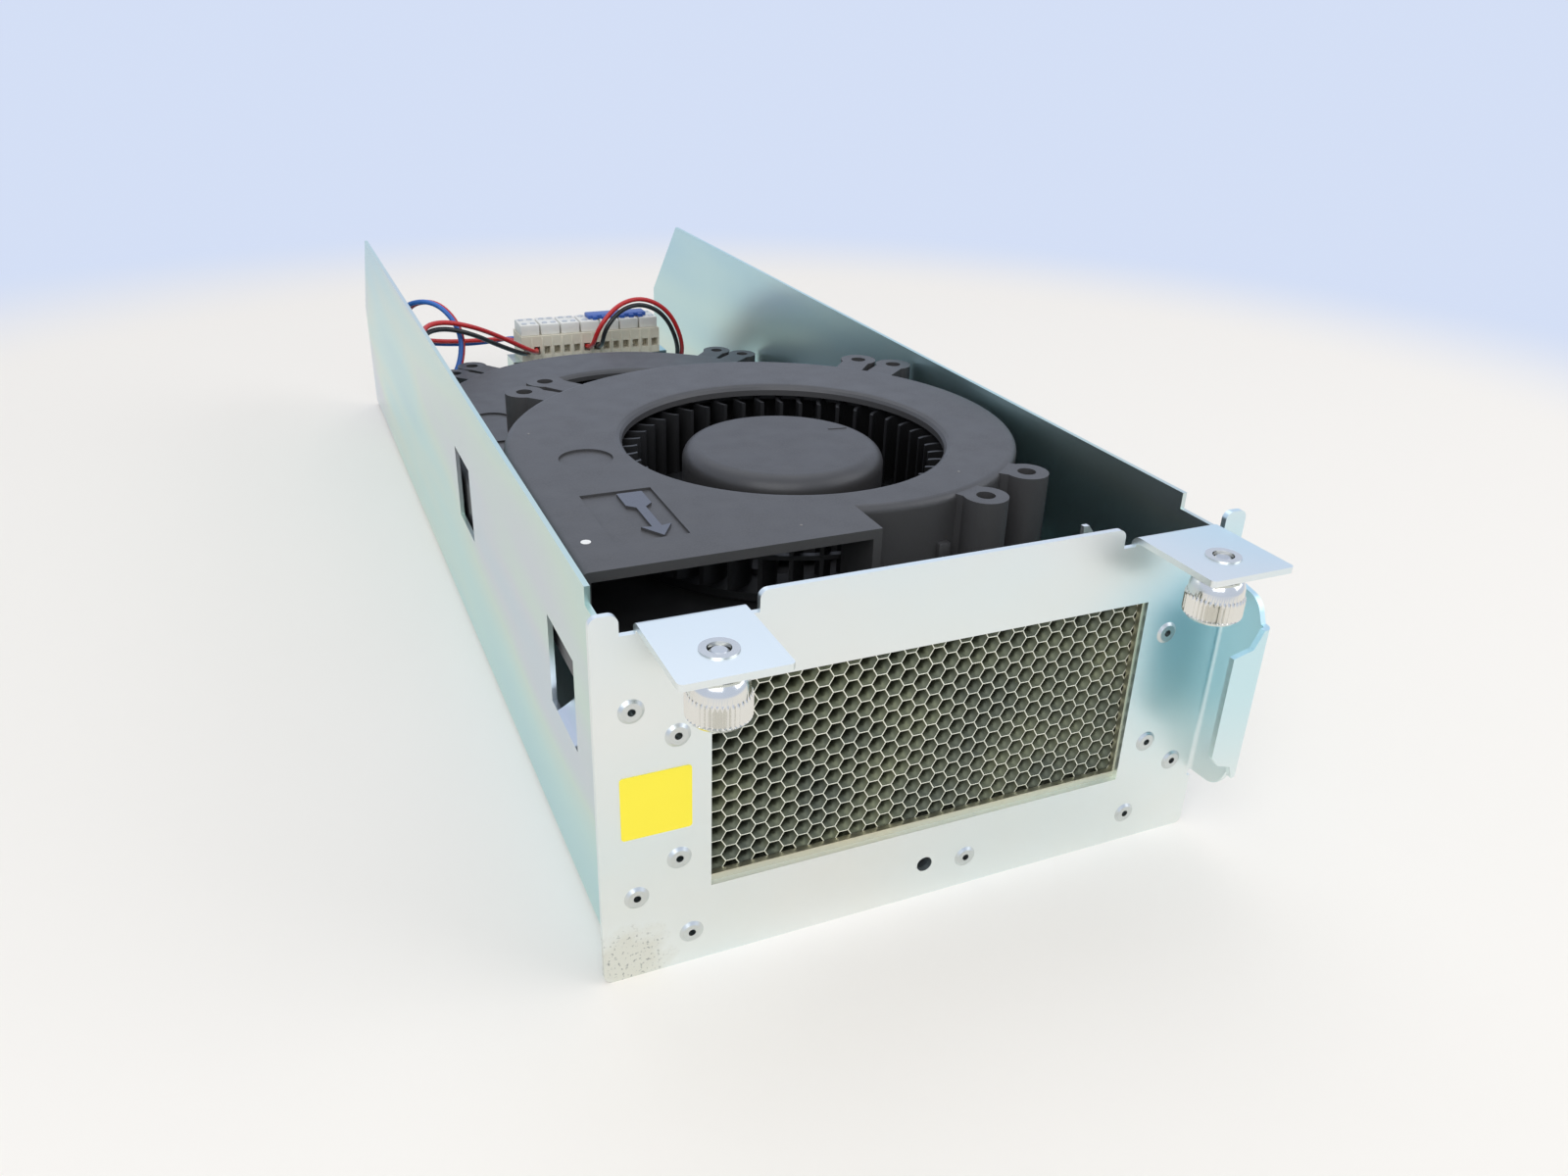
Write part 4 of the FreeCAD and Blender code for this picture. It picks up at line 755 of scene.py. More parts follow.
def shift_swept(bm: Mesh, made: dict[str, list], way: Point) -> None:
    """Moves the points that an extrusion has just made.

    Args:
        bm: the mesh.
        made: what the extrusion gave back.
        way: how far they go.
    """
    points = [item for item in made["geom"] if isinstance(item, bmesh.types.BMVert)]
    bmesh.ops.translate(bm, vec=way, verts=points)


def prism(outline: list[Point], way: Point) -> Mesh:
    """Sweeps a flat outline along a straight line.

    Args:
        outline: its corners in order.
        way: how far and where it is swept.

    Returns:
        The closed mesh.
    """
    bm = bmesh.new()
    face = bm.faces.new([bm.verts.new(corner) for corner in outline])
    shift_swept(bm, bmesh.ops.extrude_face_region(bm, geom=[face]), way)
    return bm


def merge(parts: list[Mesh]) -> Mesh:
    """Joins several meshes into the first and frees the rest.

    Args:
        parts: the meshes.

    Returns:
        The first, which now holds them all.
    """
    whole = parts[0]
    for part in parts[1:]:
        mesh = bpy.data.meshes.new("part")
        part.to_mesh(mesh)
        part.free()
        whole.from_mesh(mesh)
        bpy.data.meshes.remove(mesh)
    return whole


def moved(bm: Mesh, place: Vector) -> Mesh:
    """Moves a mesh and gives it back."""
    bmesh.ops.translate(bm, vec=place, verts=bm.verts)
    return bm


def axis_of(node: str) -> Vector:
    """Gives the point of the frame's ground plane that is under the middle of a CAD node.

    Args:
        node: the node's name.

    Returns:
        The point.
    """
    low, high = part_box(node)
    centre = (low + high) / 2
    return Vector((centre.x, centre.y, 0.0))


def add_object(name: str, data: bpy.types.ID) -> bpy.types.Object:
    """Puts a mesh, curve, lamp or camera into the scene under a name.

    Args:
        name: the object's name.
        data: its mesh, curve, lamp or camera.

    Returns:
        The new object.
    """
    thing = bpy.data.objects.new(name, data)
    bpy.context.scene.collection.objects.link(thing)
    return thing


def make_piece(name: str, bm: Mesh, finish: Finish, body: str = ROOT,
               replaces: tuple[str, ...] = (), angle: float = 35.0,
               closed: bool = True) -> bpy.types.Object:
    """Turns a mesh into a finished piece that rides on a body.

    Args:
        name: the piece's name.
        bm: its mesh, in the frame's own metres; it is freed.
        finish: its finish.
        body: the body that it rides on.
        replaces: CAD nodes that it stands for.
        angle: faces that meet at less than this are shaded smooth.
        closed: whether the normals are recalculated outwards.

    Returns:
        The new object.
    """
    if closed:
        bmesh.ops.recalc_face_normals(bm, faces=bm.faces)
    mesh = bpy.data.meshes.new(name)
    bm.to_mesh(mesh)
    bm.free()
    mesh.shade_smooth()
    mesh.set_sharp_from_angle(angle=math.radians(angle))
    mesh.materials.append(material(finish))
    piece = add_object(name, mesh)
    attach(piece, body)
    if replaces:
        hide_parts(*replaces)
    LOG.info("made %s: %d faces", name, len(mesh.polygons))
    return piece


# ---------------------------------------------------------------- sub-assemblies


@dataclass
class SheetMetal:
    """The tray, front panel, bracket and what is riveted to them."""

    label_radius: float = 0.6 * MM
    label_steps: int = 4

    def dress(self) -> None:
        """Gives the plated pieces their finishes."""
        dress(Metal.ZINC, "tray", "terminal_bracket")
        dress(Metal.PANEL, "front_panel")
        # The rivets' darker colour is painted shade.
        dress(Metal.RIVET_PAINTED_SHADE, "panel_rivets", "bracket_rivets")
        dress(Metal.STEEL, "clinch_nut", "floor_screws", "upper_standoffs", "lower_standoffs")

    def build_label(self) -> None:
        """Makes the blank yellow label: a thin film with rounded corners."""
        low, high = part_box("yellow_label")
        film = block(low, high)
        through = [edge for edge in film.edges
                   if abs(edge.verts[0].co.y - edge.verts[1].co.y) > 1e-6]
        round_edges(film, through, self.label_radius, self.label_steps)
        make_piece("label_film", film, Plastic.FILM, replaces=("yellow_label",))

    def build(self) -> None:
        """Dresses the metal and makes the label."""
        self.dress()
        self.build_label()


@dataclass
class HoneycombVent:
    """The fine honeycomb in its channel frame."""

    cell: float = 3.3 * MM
    foil: float = 0.19 * MM
    reach: float = 1.1 * MM
    gusset: tuple[float, float, float] = (33.3 * MM, 10.8 * MM, 10.0 * MM)
    gusset_root: float = 0.5 * MM
    gusset_tip: float = 1.2 * MM
    gusset_thickness: float = 1.0 * MM

    def build_core(self) -> None:
        """Makes the foil: shared walls of hexagonal cells, drawn through the core's depth."""
        low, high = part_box("honeycomb_core")
        middle = (low + high) / 2
        radius = self.cell / math.sqrt(3)
        pitch = radius * 1.5
        columns = int((high.x - low.x) / 2 / pitch) + 1
        rows = int((high.z - low.z) / 2 / self.cell) + 1
        core = bmesh.new()
        upright = Matrix.Rotation(math.radians(90), 4, "X")
        flat_top = Matrix.Rotation(math.radians(30), 4, "Z")
        for column in range(-columns, columns + 1):
            for row in range(-rows, rows + 1):
                centre = Vector((middle.x + column * pitch, low.y,
                                 middle.z + (row + 0.5 * (column % 2)) * self.cell))
                bmesh.ops.create_circle(core, cap_ends=False, segments=6, radius=radius,
                                        matrix=Matrix.Translation(centre) @ upright @ flat_top)
        bmesh.ops.remove_doubles(core, verts=core.verts, dist=radius * 0.05)
        for point, normal in ((low, (-1, 0, 0)), (high, (1, 0, 0)), (low, (0, 0, -1)),
                              (high, (0, 0, 1))):
            bmesh.ops.bisect_plane(core, geom=core.verts[:] + core.edges[:] + core.faces[:],
                                   plane_co=point, plane_no=normal, clear_outer=True)
        made = bmesh.ops.extrude_edge_only(core, edges=core.edges[:])
        shift_swept(core, made, (0, high.y - low.y + self.reach, 0))
        piece = make_piece("honeycomb_foil", core, Metal.FOIL_PAINTED_SHADE, replaces=("honeycomb_core",),
                           closed=False, angle=20.0)
        solid = piece.modifiers.new("foil", "SOLIDIFY")
        solid.solidify_mode = "NON_MANIFOLD"
        solid.thickness = self.foil
        solid.offset = 0.0
        # The faces take the dark foil finish, painted shade; the rim that the solidify makes, the
        # cut edges, takes the near-white edge finish, a painted highlight.
        piece.data.materials.append(material(Metal.EDGE))
        solid.material_offset_rim = 1

    def build_gusset(self) -> None:
        """Makes the pointed upright whose tip shows behind the panel's tongue."""
        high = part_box("vent_frame")[1]
        left, rise, run = self.gusset
        root, top = high.z - self.gusset_root, high.z + rise
        outline = [(left, high.y, root), (left + run, high.y, root),
                   (left + self.gusset_tip, high.y, top), (left, high.y, top)]
        make_piece("vent_gusset", prism(outline, (0, -self.gusset_thickness, 0)), Metal.PANEL)

    def build(self) -> None:
        """Dresses the frame and makes the core and the gusset."""
        dress(Metal.VENT, "vent_frame")
        self.build_core()
        self.build_gusset()


class Side(Enum):
    """The two thumbscrews."""

    LEFT = "left"
    RIGHT = "right"


@dataclass
class Thumbscrew:
    """One captive thumbscrew: a knurled cup over a ferrule, with its screw and spring.

    The curves' points are (distance inside the knob's radius, distance from its foot or from
    its top), in millimetres.
    """

    side: Side
    flutes: int = 38
    flute_steps: int = 4
    flute_depth: float = 0.42 * MM
    flute_shape: float = 0.7
    knurl_margin: float = 0.05 * MM
    foot_curve: Outline = ((1.9, 0.3), (1.1, 0.0), (0.6, 0.1), (0.1, 0.7))
    knurl_foot: float = 0.8
    knurl_step: float = 0.6
    knurl_rows: int = 7
    shoulder: tuple[float, float] = (0.35, 4.9)
    rim_curve: Outline = ((0.4, 1.9), (0.48, 1.5), (0.62, 1.0), (0.82, 0.55), (1.02, 0.2),
                          (1.2, 0.0))
    dimple: float = 0.35 * MM
    cup_gap: float = 0.05 * MM
    cup_floor: float = 2.2 * MM
    stem: float = 2.25 * MM
    stem_recess: float = 0.2 * MM
    thread_radius: float = 1.75 * MM
    thread_start: float = 1.2 * MM
    thread_pitch: float = 0.5 * MM
    thread_turns: int = 9
    ridge_steps: int = 24
    ridge: Outline = ((-0.1, 0.0), (0.02, 0.08), (0.02, 0.14), (-0.1, 0.22))
    coils: int = 3
    coil_steps: int = 28
    wire_steps: int = 8
    wire: float = 0.24 * MM
    travel: float = 1.8 * MM

    @property
    def body(self) -> str:
        """The body that turns and slides."""
        return self.side.value + "_thumbscrew"

    def profile(self, low: Vector, high: Vector) -> list[tuple[float, float]]:
        """Gives the knob's section.

        Args:
            low: lowest corner of the CAD knob.
            high: highest corner of the CAD knob.

        Returns:
            Closed (radius, height) points in metres.
        """
        radius = (high.x - low.x) / 2
        top, foot = high.z, low.z
        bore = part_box(self.side.value + "_ferrule")
        cup = (bore[1].x - bore[0].x) / 2 + self.cup_gap
        floor = foot + self.cup_floor
        outer = [(0.0, foot + self.dimple)]
        outer += [(radius - inset * MM, foot + rise * MM) for inset, rise in self.foot_curve]
        band = [(radius, foot + (self.knurl_foot + self.knurl_step * row) * MM)
                for row in range(self.knurl_rows)]
        dome = [(radius - self.shoulder[0] * MM, foot + self.shoulder[1] * MM)]
        dome += [(radius - inset * MM, top - drop * MM) for inset, drop in self.rim_curve]
        inner = [(cup, top), (cup, floor), (self.stem, floor),
                 (self.stem, floor - self.stem_recess), (0.0, floor - self.stem_recess)]
        return outer + band + dome + inner

    def build_knob(self) -> None:
        """Makes the knob and cuts its straight knurl."""
        name = self.side.value + "_knob"
        low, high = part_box(name)
        knob = lathe(self.profile(low, high), self.flutes * self.flute_steps)
        radius = (high.x - low.x) / 2
        knurled = [vert for vert in knob.verts
                   if math.hypot(vert.co.x, vert.co.y) > radius - self.knurl_margin]
        for vert in knurled:
            turn = math.atan2(vert.co.y, vert.co.x) * self.flutes
            cut = (0.5 - 0.5 * math.cos(turn)) ** self.flute_shape
            scale = 1.0 - self.flute_depth / radius * cut
            bmesh.ops.scale(knob, vec=(scale, scale, 1.0), verts=[vert])
        moved(knob, axis_of(name))
        make_piece(self.side.value + "_knurled_knob", knob, Metal.NICKEL, self.body, (name,),
                   angle=28.0)

    def build_thread(self) -> None:
        """Makes the rolled thread on the screw's end as rounded ridges."""
        name = self.side.value + "_screw"
        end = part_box(name)[1].z
        ridges = []
        for turn in range(self.thread_turns):
            base = end - self.thread_start - self.thread_pitch * turn
            ridges.append(lathe([(self.thread_radius + out * MM, base + rise * MM)
                                 for out, rise in self.ridge], self.ridge_steps))
        thread = moved(merge(ridges), axis_of(name))
        make_piece(name + "_thread", thread, Metal.STEEL, self.body)

    def build_spring(self) -> None:
        """Makes the return spring of round wire, with a mesh of its own; on the real module it
        shortens as the knob is pushed in.
        """
        name = self.side.value
        low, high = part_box(name + "_spring")
        axis = axis_of(name + "_spring")
        radius = (high.x - low.x) / 2 - self.wire
        steps = self.coil_steps * self.coils
        rise = (high.z - low.z - 2 * self.wire) / steps
        spring = bmesh.new()
        made = bmesh.ops.create_circle(
            spring, cap_ends=True, segments=self.wire_steps, radius=self.wire,
            matrix=Matrix.Translation((radius, 0.0, low.z + self.wire))
            @ Matrix.Rotation(math.radians(90), 4, "X"))
        start = list({face for vert in made["verts"] for face in vert.link_faces})
        bmesh.ops.spin(spring, geom=start, cent=(0, 0, 0), axis=(0, 0, 1), dvec=(0, 0, rise),
                       angle=math.tau * self.coils, steps=steps)
        moved(spring, axis)
        piece = make_piece(name + "_coil_spring", spring, Metal.SPRING, ROOT,
                           (name + "_spring",), angle=60.0)
        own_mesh(piece)

    def build(self) -> None:
        """Makes the knob, thread and spring and dresses the rest."""
        side = self.side.value
        dress(Metal.NICKEL, side + "_ferrule")
        dress(Metal.STEEL, side + "_screw", side + "_spring_seat")
        self.build_knob()
        self.build_thread()
        self.build_spring()


class Level(Enum):
    """The two blowers."""

    UPPER = "upper"
    LOWER = "lower"


@dataclass
class Blower:
    """One centrifugal blower: moulded shells, wheel and motor."""

    level: Level
    dot: tuple[float, float] = (-55.6 * MM, 12.6 * MM)
    dot_radius: float = 0.95 * MM
    dot_rise: float = 0.06 * MM
    dot_steps: int = 24
    pips: Outline = ((-52.0 * MM, 74.3 * MM), (28.1 * MM, 21.5 * MM), (-15.5 * MM, 6.6 * MM))
    pip_profile: Outline = ((0.0, -0.05 * MM), (0.35 * MM, -0.05 * MM), (0.25 * MM, 0.08 * MM),
                            (0.0, 0.1 * MM))
    pip_steps: int = 12
    ring_lift: float = 0.4 * MM
    ring_half: float = 0.5 * MM
    ring_steps: int = 96
    ring_insets: tuple[float, float] = (1.5 * MM, 0.05 * MM)
    tick: tuple[float, float] = (16.6 * MM, 5.6 * MM)
    tick_half: Point = (2.3 * MM, 0.3 * MM, 0.2 * MM)
    tick_turn: float = -8.0
    tick_round: float = 0.12 * MM
    arrow: tuple[float, float] = (-41.22 * MM, 10.9 * MM)
    arrow_length: float = 22.2 * MM
    barb: Outline = ((3.0 * MM, 4.9 * MM), (0.95 * MM, 4.4 * MM))
    tail: Outline = ((0.95 * MM, 8.0 * MM), (2.6 * MM, 6.4 * MM), (2.6 * MM, 0.0))
    arrow_rise: float = 0.04 * MM
    clips: tuple[float, ...] = (18.6 * MM, 24.0 * MM)
    clip_face: float = 11.45 * MM
    clip_half: float = 1.4 * MM
    clip_depth: float = 2.4 * MM
    clip_round: float = 0.35 * MM
    clip_reach: tuple[float, float] = (1.0 * MM, 2.6 * MM)

    @property
    def wheel(self) -> Plastic:
        """The finish of this blower's wheel, whose blades are darkened with painted shade."""
        return Plastic.UPPER_WHEEL if self.level is Level.UPPER else Plastic.LOWER_WHEEL

    def build_marks(self) -> None:
        """Makes the white paint dot and the moulded pips on the cover; the pips' lighter colour
        is a painted glint.
        """
        name = self.level.value
        low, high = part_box(name + "_blower_cover")
        dot = bmesh.new()
        bmesh.ops.create_circle(dot, cap_ends=True, segments=self.dot_steps,
                                radius=self.dot_radius)
        lifted = bmesh.ops.extrude_face_region(dot, geom=dot.faces[:])
        shift_swept(dot, lifted, (0, 0, self.dot_rise))
        moved(dot, Vector((self.dot[0], low.y + self.dot[1], high.z)))
        make_piece(name + "_paint_dot", dot, Plastic.PAINT)
        pips = [moved(lathe(list(self.pip_profile), self.pip_steps),
                      Vector((x, low.y + back, high.z))) for x, back in self.pips]
        make_piece(name + "_moulding_pips", merge(pips), Plastic.PIP_PAINTED_GLINT)

    def build_wheel_details(self) -> None:
        """Makes the ring half-way up the blades and the moulded tick on the cap."""
        name = self.level.value
        low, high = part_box(name + "_impeller")
        axis = axis_of(name + "_impeller")
        radius = (high.x - low.x) / 2
        inner, outer = radius - self.ring_insets[0], radius - self.ring_insets[1]
        middle = (low.z + high.z) / 2 + self.ring_lift
        foot, top = middle - self.ring_half, middle + self.ring_half
        ring = lathe([(inner, foot), (outer, foot), (outer, top), (inner, top)],
                     self.ring_steps)
        moved(ring, axis)
        make_piece(name + "_wheel_ring", ring, self.wheel, name + "_rotor")
        half = Vector(self.tick_half)
        tick = block(-half, half, self.tick_round)
        bmesh.ops.rotate(tick, cent=(0, 0, 0), verts=tick.verts,
                         matrix=Matrix.Rotation(math.radians(self.tick_turn), 3, "Z"))
        place = axis + Vector((*self.tick, high.z))
        make_piece(name + "_hub_tick", moved(tick, place), self.wheel, name + "_rotor")

    def build_arrow(self) -> None:
        """Makes the smooth upper face of the raised flow arrow, which points to the outlet; its
        finish's lighter, bluer colour is a painted sheen.
        """
        name = self.level.value
        low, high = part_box(name + "_blower_cover")
        middle, tip = self.arrow
        end = tip + self.arrow_length
        half = [(x, tip + back) for x, back in self.barb]
        half += [(x, end - ahead) for x, ahead in self.tail]
        ring = [(middle, tip)] + [(middle + x, y) for x, y in half]
        ring += [(middle - x, y) for x, y in reversed(half)]
        arrow = prism([(x, low.y + y, high.z) for x, y in ring], (0, 0, self.arrow_rise))
        make_piece(name + "_flow_arrow", arrow, Plastic.ARROW)

    def build_clips(self) -> None:
        """Makes the snap clips that hold the shells together beside the outlet."""
        name = self.level.value
        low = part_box(name + "_blower_cover")[0]
        face = low.y + self.clip_face
        below, above = self.clip_reach
        clips = [block(Vector((x - self.clip_half, face - self.clip_depth, low.z - below)),
                       Vector((x + self.clip_half, face, low.z + above)), self.clip_round)
                 for x in self.clips]
        make_piece(name + "_snap_clips", merge(clips), Plastic.HOUSING)

    def build(self) -> None:
        """Dresses the shells, wheel and motor and adds the small moulded details."""
        name = self.level.value + "_"
        dress(Plastic.HOUSING, name + "blower_base", name + "blower_cover")
        dress(self.wheel, name + "impeller")
        dress(Plastic.BOARD, name + "circuit_board")
        dress(Plastic.MAGNET, name + "rotor_magnet")
        dress(Metal.COPPER, name + "stator_coils")
        dress(Metal.STEEL, name + "stator_core", name + "bearings", name + "rotor_yoke",
              name + "shaft")
        self.build_marks()
        self.build_wheel_details()
        self.build_arrow()
        self.build_clips()


@dataclass
class TerminalRow:
    """The terminal block behind the blowers."""

    poles: int = 14
    gap: float = 0.6 * MM
    wells: tuple[float, float] = (0.27, 0.73)
    well_inset: float = 2.4 * MM
    cover_round: float = 0.35 * MM
    screw: float = 1.05 * MM
    screw_rise: float = 0.25 * MM
    screw_chamfer: tuple[float, float] = (0.1 * MM, 0.08 * MM)
    screw_steps: int = 16
    slot_share: float = 0.9
    slot_half: float = 0.14 * MM
    slot_reach: tuple[float, float] = (0.05 * MM, 0.03 * MM)
    rib_half: tuple[float, float] = (0.3 * MM, 0.35 * MM)
    rib_ends: tuple[float, float] = (0.8 * MM, 0.6 * MM)
    rib_round: float = 0.1 * MM
    comb_back: float = 1.5 * MM
    comb_round: float = 0.4 * MM
    tooth_start: float = 1.5 * MM
    tooth_pitch: float = 3.6 * MM
    tooth: tuple[float, float] = (1.8 * MM, 2.2 * MM)
    tooth_drop: float = 0.3 * MM
    tooth_round: float = 0.15 * MM
    teeth: int = 6

    def build_clamps(self) -> None:
        """Makes the rounded clamp covers and the slotted screws on their tops."""
        low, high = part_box("terminal_clamps")
        pitch = (high.x - low.x + self.gap) / (self.poles / 2)
        covers, screws = [], []
        for number in range(self.poles // 2):
            start = low.x + pitch * number
            width = pitch - self.gap
            covers.append(block(Vector((start, low.y, low.z)),
                                Vector((start + width, high.y, high.z)), self.cover_round))
            for share in self.wells:
                for y in (low.y + self.well_inset, high.y - self.well_inset):
                    screws.append(self.screw_head(Vector((start + width * share, y, high.z))))
        make_piece("clamp_covers", merge(covers), Plastic.WHITE,
                   replaces=("terminal_clamps",))
        make_piece("clamp_screws", merge(screws), Metal.STEEL)

    def screw_head(self, place: Vector) -> Mesh:
        """One slotted screw head standing a little above the cover's top.

        Args:
            place: the middle of its foot.

        Returns:
            The mesh.
        """
        radius, rise = self.screw, self.screw_rise
        across, down = self.screw_chamfer
        head = lathe([(0.0, 0.0), (radius, 0.0), (radius, rise - down), (radius - across, rise),
                      (0.0, rise)], self.screw_steps)
        half = radius * self.slot_share
        below, above = self.slot_reach
        slot = block(Vector((-half, -self.slot_half, rise - below)),
                     Vector((half, self.slot_half, rise + above)))
        return moved(merge([head, slot]), place)

    def build_ribs(self) -> None:
        """Makes the thin ribs between the poles on both faces of the moulding."""
        low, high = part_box("terminal_block")
        pitch = (high.x - low.x) / self.poles
        wide, deep = self.rib_half
        foot, top = low.z + self.rib_ends[0], high.z - self.rib_ends[1]
        ribs = []
        for number in range(1, self.poles):
            x = low.x + pitch * number
            ribs += [block(Vector((x - wide, y - deep, foot)), Vector((x + wide, y + deep, top)),
                           self.rib_round) for y in (low.y, high.y)]
        make_piece("pole_ribs", merge(ribs), Plastic.CREAM)

    def build_comb(self) -> None:
        """Makes the insulated comb that bridges several poles."""
        low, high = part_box("terminal_jumper")
        comb = [block(Vector((low.x, low.y + self.comb_back, low.z)), high,
                      self.comb_round)]
        for number in range(self.teeth):
            corner = Vector((low.x + self.tooth_start + self.tooth_pitch * number, low.y, low.z))
            far = Vector((corner.x + self.tooth[0], low.y + self.tooth[1],
                          high.z - self.tooth_drop))
            comb.append(block(corner, far, self.tooth_round))
        make_piece("bridging_comb", merge(comb), Plastic.BLUE_SLEEVE,
                   replaces=("terminal_jumper",))

    def build(self) -> None:
        """Dresses the moulding and makes the clamps, ribs and comb."""
        dress(Plastic.CREAM, "terminal_block")
        self.build_clamps()
        self.build_ribs()
        self.build_comb()


@dataclass(frozen=True)
class Lead:
    """One insulated lead: its finish, real length in millimetres and route.

    The route's points are (x, distance behind the tray's front edge, z), in millimetres.
    """

    node: str
    finish: Plastic
    slot: str
    length: float
    route: tuple[Point, ...]


@dataclass
class Wiring:
    """The leads between the blowers and the terminal block."""

    leads: tuple[Lead, ...]
    radius: float = 0.85 * MM
    front: float = -177.5

    def spot(self, point: Point) -> Point:
        """Gives a route's point in the frame's metres."""
        x, back, z = point
        return x * MM, (self.front + back) * MM, z * MM

    def build_lead(self, lead: Lead) -> None:
        """Makes one lead along its route.

        Args:
            lead: what it is and where it runs.
        """
        curve = bpy.data.curves.new(lead.node, "CURVE")
        curve.dimensions = "3D"
        curve.bevel_depth = self.radius
        curve.bevel_resolution = 3
        curve.use_fill_caps = True
        curve.resolution_u = 8
        spline = curve.splines.new("NURBS")
        spline.points.add(len(lead.route) - 1)
        for point, corner in zip(spline.points, lead.route):
            point.co = (*self.spot(corner), 1.0)
        spline.order_u = 3
        spline.use_endpoint_u = True
        curve.materials.append(material(lead.finish))
        piece = add_object(lead.node + "_wire", curve)
        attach(piece, ROOT)
        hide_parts(lead.node)
        LOG.info("made %s, %.0f mm", lead.node, lead.length)

    def build(self) -> None:
        """Makes every lead."""
        for lead in self.leads:
            self.build_lead(lead)


LEADS = (
    Lead("upper_lead_red", Plastic.RED, "wire_red", 209.0, (
        (-51.9, 112.1, 53), (-57.3, 117.5, 52.7), (-58.5, 131.1, 50.7), (-57.9, 157.1, 48.4),
        (-58.5, 199.9, 48.2), (-57.5, 229.8, 51.6), (-54.5, 247.8, 57.6), (-46.5, 256, 57.6),
        (-35.5, 259.5, 54.2), (-24, 268.5, 47.2), (-8.21, 276, 37.1), (-8.21, 287.8, 37.1))),
    Lead("upper_lead_black", Plastic.BLACK, "wire_black", 205.0, (
        (-51.9, 112.1, 50.8), (-57.1, 117.3, 50.5), (-58.3, 130.9, 48.5), (-57.7, 156.9, 46.2),
        (-58.3, 200.1, 46), (-57.3, 230.2, 49.4), (-54.5, 248.2, 55.4), (-46.5, 256, 55.4),
        (-36.2, 258.6, 52), (-25, 267.2, 44.4), (-12.07, 276.2, 37.1), (-12.07, 287.8, 37.1))),
    Lead("lower_lead_blue", Plastic.BLUE, "wire_blue", 172.0, (
        (-51.9, 223.1, 26.9), (-56.6, 227.7, 27), (-56.2, 239.7, 28.6), (-49.1, 251.5, 33),
        (-40.9, 258.6, 41.1), (-39, 262, 52.3), (-45.6, 267.1, 61.8), (-55, 275.5, 60.2),
        (-57.6, 287, 50.4), (-53.4, 298.5, 40.5), (-40.6, 306.2, 36.4), (-25, 311, 34.2),
        (-8.21, 307.5, 37.1), (-8.21, 293.8, 37.1))),
    Lead("lower_lead_red", Plastic.RED, "wire_red", 162.0, (
        (-51.9, 223.1, 24.7), (-56.6, 227.9, 24.8), (-56.2, 240.3, 26.4), (-48.9, 252.5, 31),
        (-40.1, 260.4, 39.9), (-38, 264, 51.7), (-44.4, 268.9, 61.2), (-53, 276.5, 59.8),
        (-55.4, 287, 50.6), (-51.6, 297.5, 41.5), (-39.4, 304.8, 37.6), (-26, 308.4, 36.2),
        (-12.07, 304.6, 37.1), (-12.07, 293.8, 37.1))),
    Lead("jumper_lead_red", Plastic.RED, "wire_red", 126.0, (
        (11.07, 287.8, 37.1), (11.07, 277.8, 37.1), (12.9, 272.4, 47.6), (21.6, 274.9, 55.1),
        (32.2, 277.6, 56.1), (42.3, 278.1, 50.3), (48, 279.2, 38.4), (50, 286.2, 27.8),
        (48.5, 297.2, 25.3), (45.5, 308.5, 29.5), (34.21, 307.2, 37.1), (34.21, 293.8, 37.1))),
    Lead("jumper_lead_black", Plastic.BLACK, "wire_black", 112.0, (
        (14.93, 287.8, 37.1), (14.93, 277.8, 37.1), (15.1, 272.6, 46.4), (22.4, 275.1, 52.9),
        (31.8, 277.4, 53.9), (40.7, 277.9, 48.7), (46, 278.8, 37.6), (48, 285.8, 27.2),
        (46.5, 296.8, 24.7), (43.5, 306.5, 28.5), (38.07, 304, 37.1), (38.07, 293.8, 37.1))),
)


# ---------------------------------------------------------------- stage


@dataclass(frozen=True)
class Lamp:
    """One square area lamp, aimed at the module."""

    name: str
    place: Point
    energy: float
    size: float


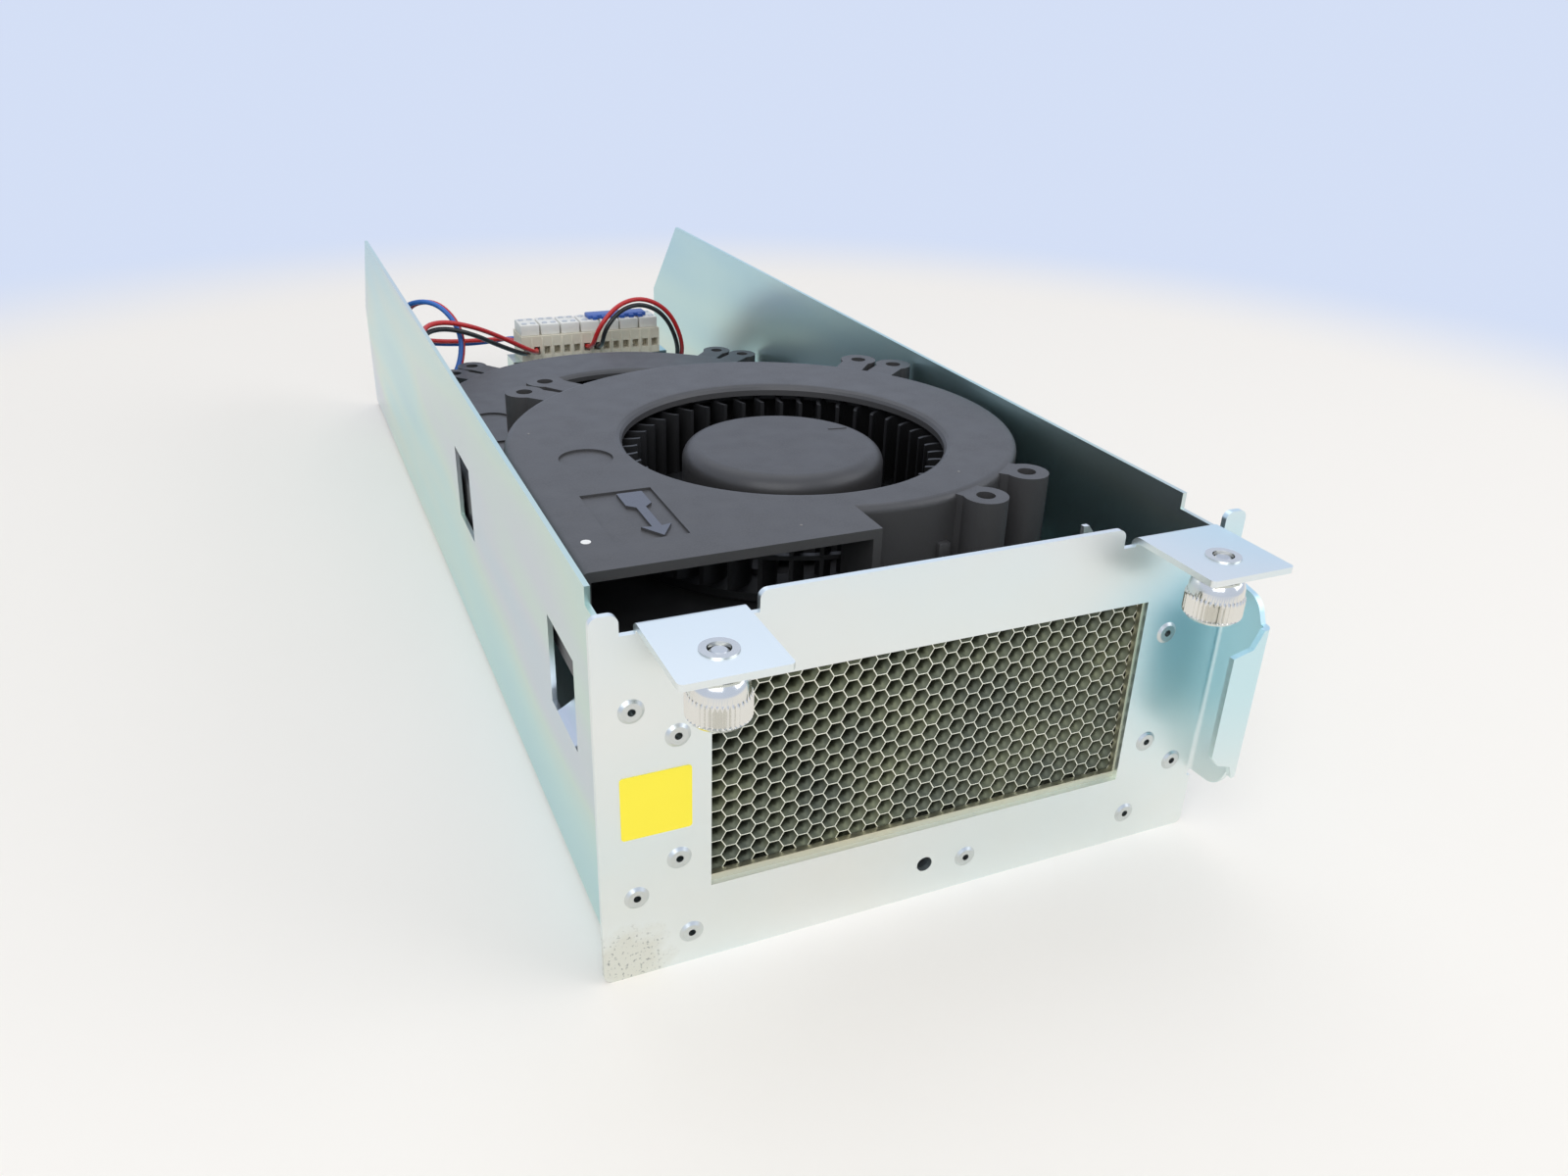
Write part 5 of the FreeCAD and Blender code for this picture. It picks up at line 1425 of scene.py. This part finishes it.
@dataclass
class Studio:
    """Floor, lamps and camera."""

    place: Point = (-0.1043, -0.3367, 0.1598)
    turn: Point = (63.66, -1.73, -23.63)
    lens: float = 27.42
    sensor: float = 36.0
    near: float = 0.01
    floor: float = 6.0
    cloth: Colour = (0.90, 0.86, 0.80)
    cloth_roughness: float = 0.85
    tent: Colour = (0.78, 0.81, 0.87)
    tent_strength: float = 0.75
    wall: Colour = (0.66, 0.74, 0.92)
    table: Point = (0.05, 0.02, 0.0)
    edge: tuple[float, float] = (0.36, 0.56)
    aim: Point = (0.0, -0.05, 0.03)
    lamps: tuple[Lamp, ...] = (Lamp("key", (-0.75, -1.25, 1.15), 14.0, 1.4),
                               Lamp("fill", (1.3, -0.8, 0.9), 7.0, 1.3),
                               Lamp("top", (0.1, 0.7, 1.6), 5.0, 1.5))

    def build_floor(self) -> None:
        """Makes the plain pale floor."""
        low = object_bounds()[0]
        bm = bmesh.new()
        bmesh.ops.create_grid(bm, x_segments=2, y_segments=2, size=self.floor)
        moved(bm, Vector((0.0, 0.0, low[2])))
        mesh = bpy.data.meshes.new("floor")
        bm.to_mesh(mesh)
        bm.free()
        mesh.materials.append(self.make_cloth())
        add_object("floor", mesh)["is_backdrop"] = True

    def make_cloth(self) -> bpy.types.Material:
        """Makes the floor's pale cloth, which turns into the tent's far wall at its edge.

        Returns:
            The finished material.
        """
        shader = Shader("pale_cloth")
        shader.set(Base_Color=self.cloth, Roughness=self.cloth_roughness)
        wall = shader.node("ShaderNodeEmission", Color=self.wall)
        far = shader.reach(self.table, *self.edge)
        shader.surface("Material Output", shader.times(far, shader.seen()),
                       shader.principled.outputs["BSDF"], wall.outputs["Emission"])
        return shader.material

    def build_lamps(self) -> None:
        """Makes a large soft key, a fill and a lamp over the rear."""
        for recipe in self.lamps:
            lamp = bpy.data.lights.new(recipe.name, "AREA")
            lamp.energy = recipe.energy
            lamp.size = recipe.size
            thing = add_object(recipe.name, lamp)
            thing.location = recipe.place
            way = Vector(self.aim) - Vector(recipe.place)
            thing.rotation_euler = way.to_track_quat("-Z", "Y").to_euler()

    def build_world(self) -> None:
        """Makes the pale tent, whose wall only shows and lights nothing."""
        world = bpy.data.worlds.new("pale_tent")
        world.use_nodes = True
        canvas = Canvas(world.node_tree)
        plain = world.node_tree.nodes["Background"]
        canvas.feed(self.tent, plain.inputs["Color"])
        canvas.feed(self.tent_strength, plain.inputs["Strength"])
        wall = canvas.node("ShaderNodeBackground", Color=self.wall, Strength=1.0)
        canvas.surface("World Output", canvas.seen(), plain.outputs["Background"],
                       wall.outputs["Background"])
        bpy.context.scene.world = world

    def build_camera(self) -> None:
        """Places the camera."""
        camera = bpy.data.cameras.new("camera")
        camera.lens = self.lens
        camera.sensor_width = self.sensor
        camera.clip_start = self.near
        thing = add_object("camera", camera)
        thing.location = self.place
        thing.rotation_euler = Euler([math.radians(angle) for angle in self.turn])
        bpy.context.scene.camera = thing
        bpy.context.scene.view_settings.view_transform = "Standard"

    def build(self) -> None:
        """Sets up the stage."""
        self.build_floor()
        self.build_lamps()
        self.build_world()
        self.build_camera()


def main() -> None:
    """Builds the sub-assemblies in order."""
    logging.basicConfig(level=logging.INFO, format="%(message)s")
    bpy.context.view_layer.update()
    SheetMetal().build()
    HoneycombVent().build()
    for side in Side:
        Thumbscrew(side).build()
    for level in Level:
        Blower(level).build()
    TerminalRow().build()
    Wiring(LEADS).build()
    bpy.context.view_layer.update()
    Studio().build()


if __name__ == "__main__":
    main()
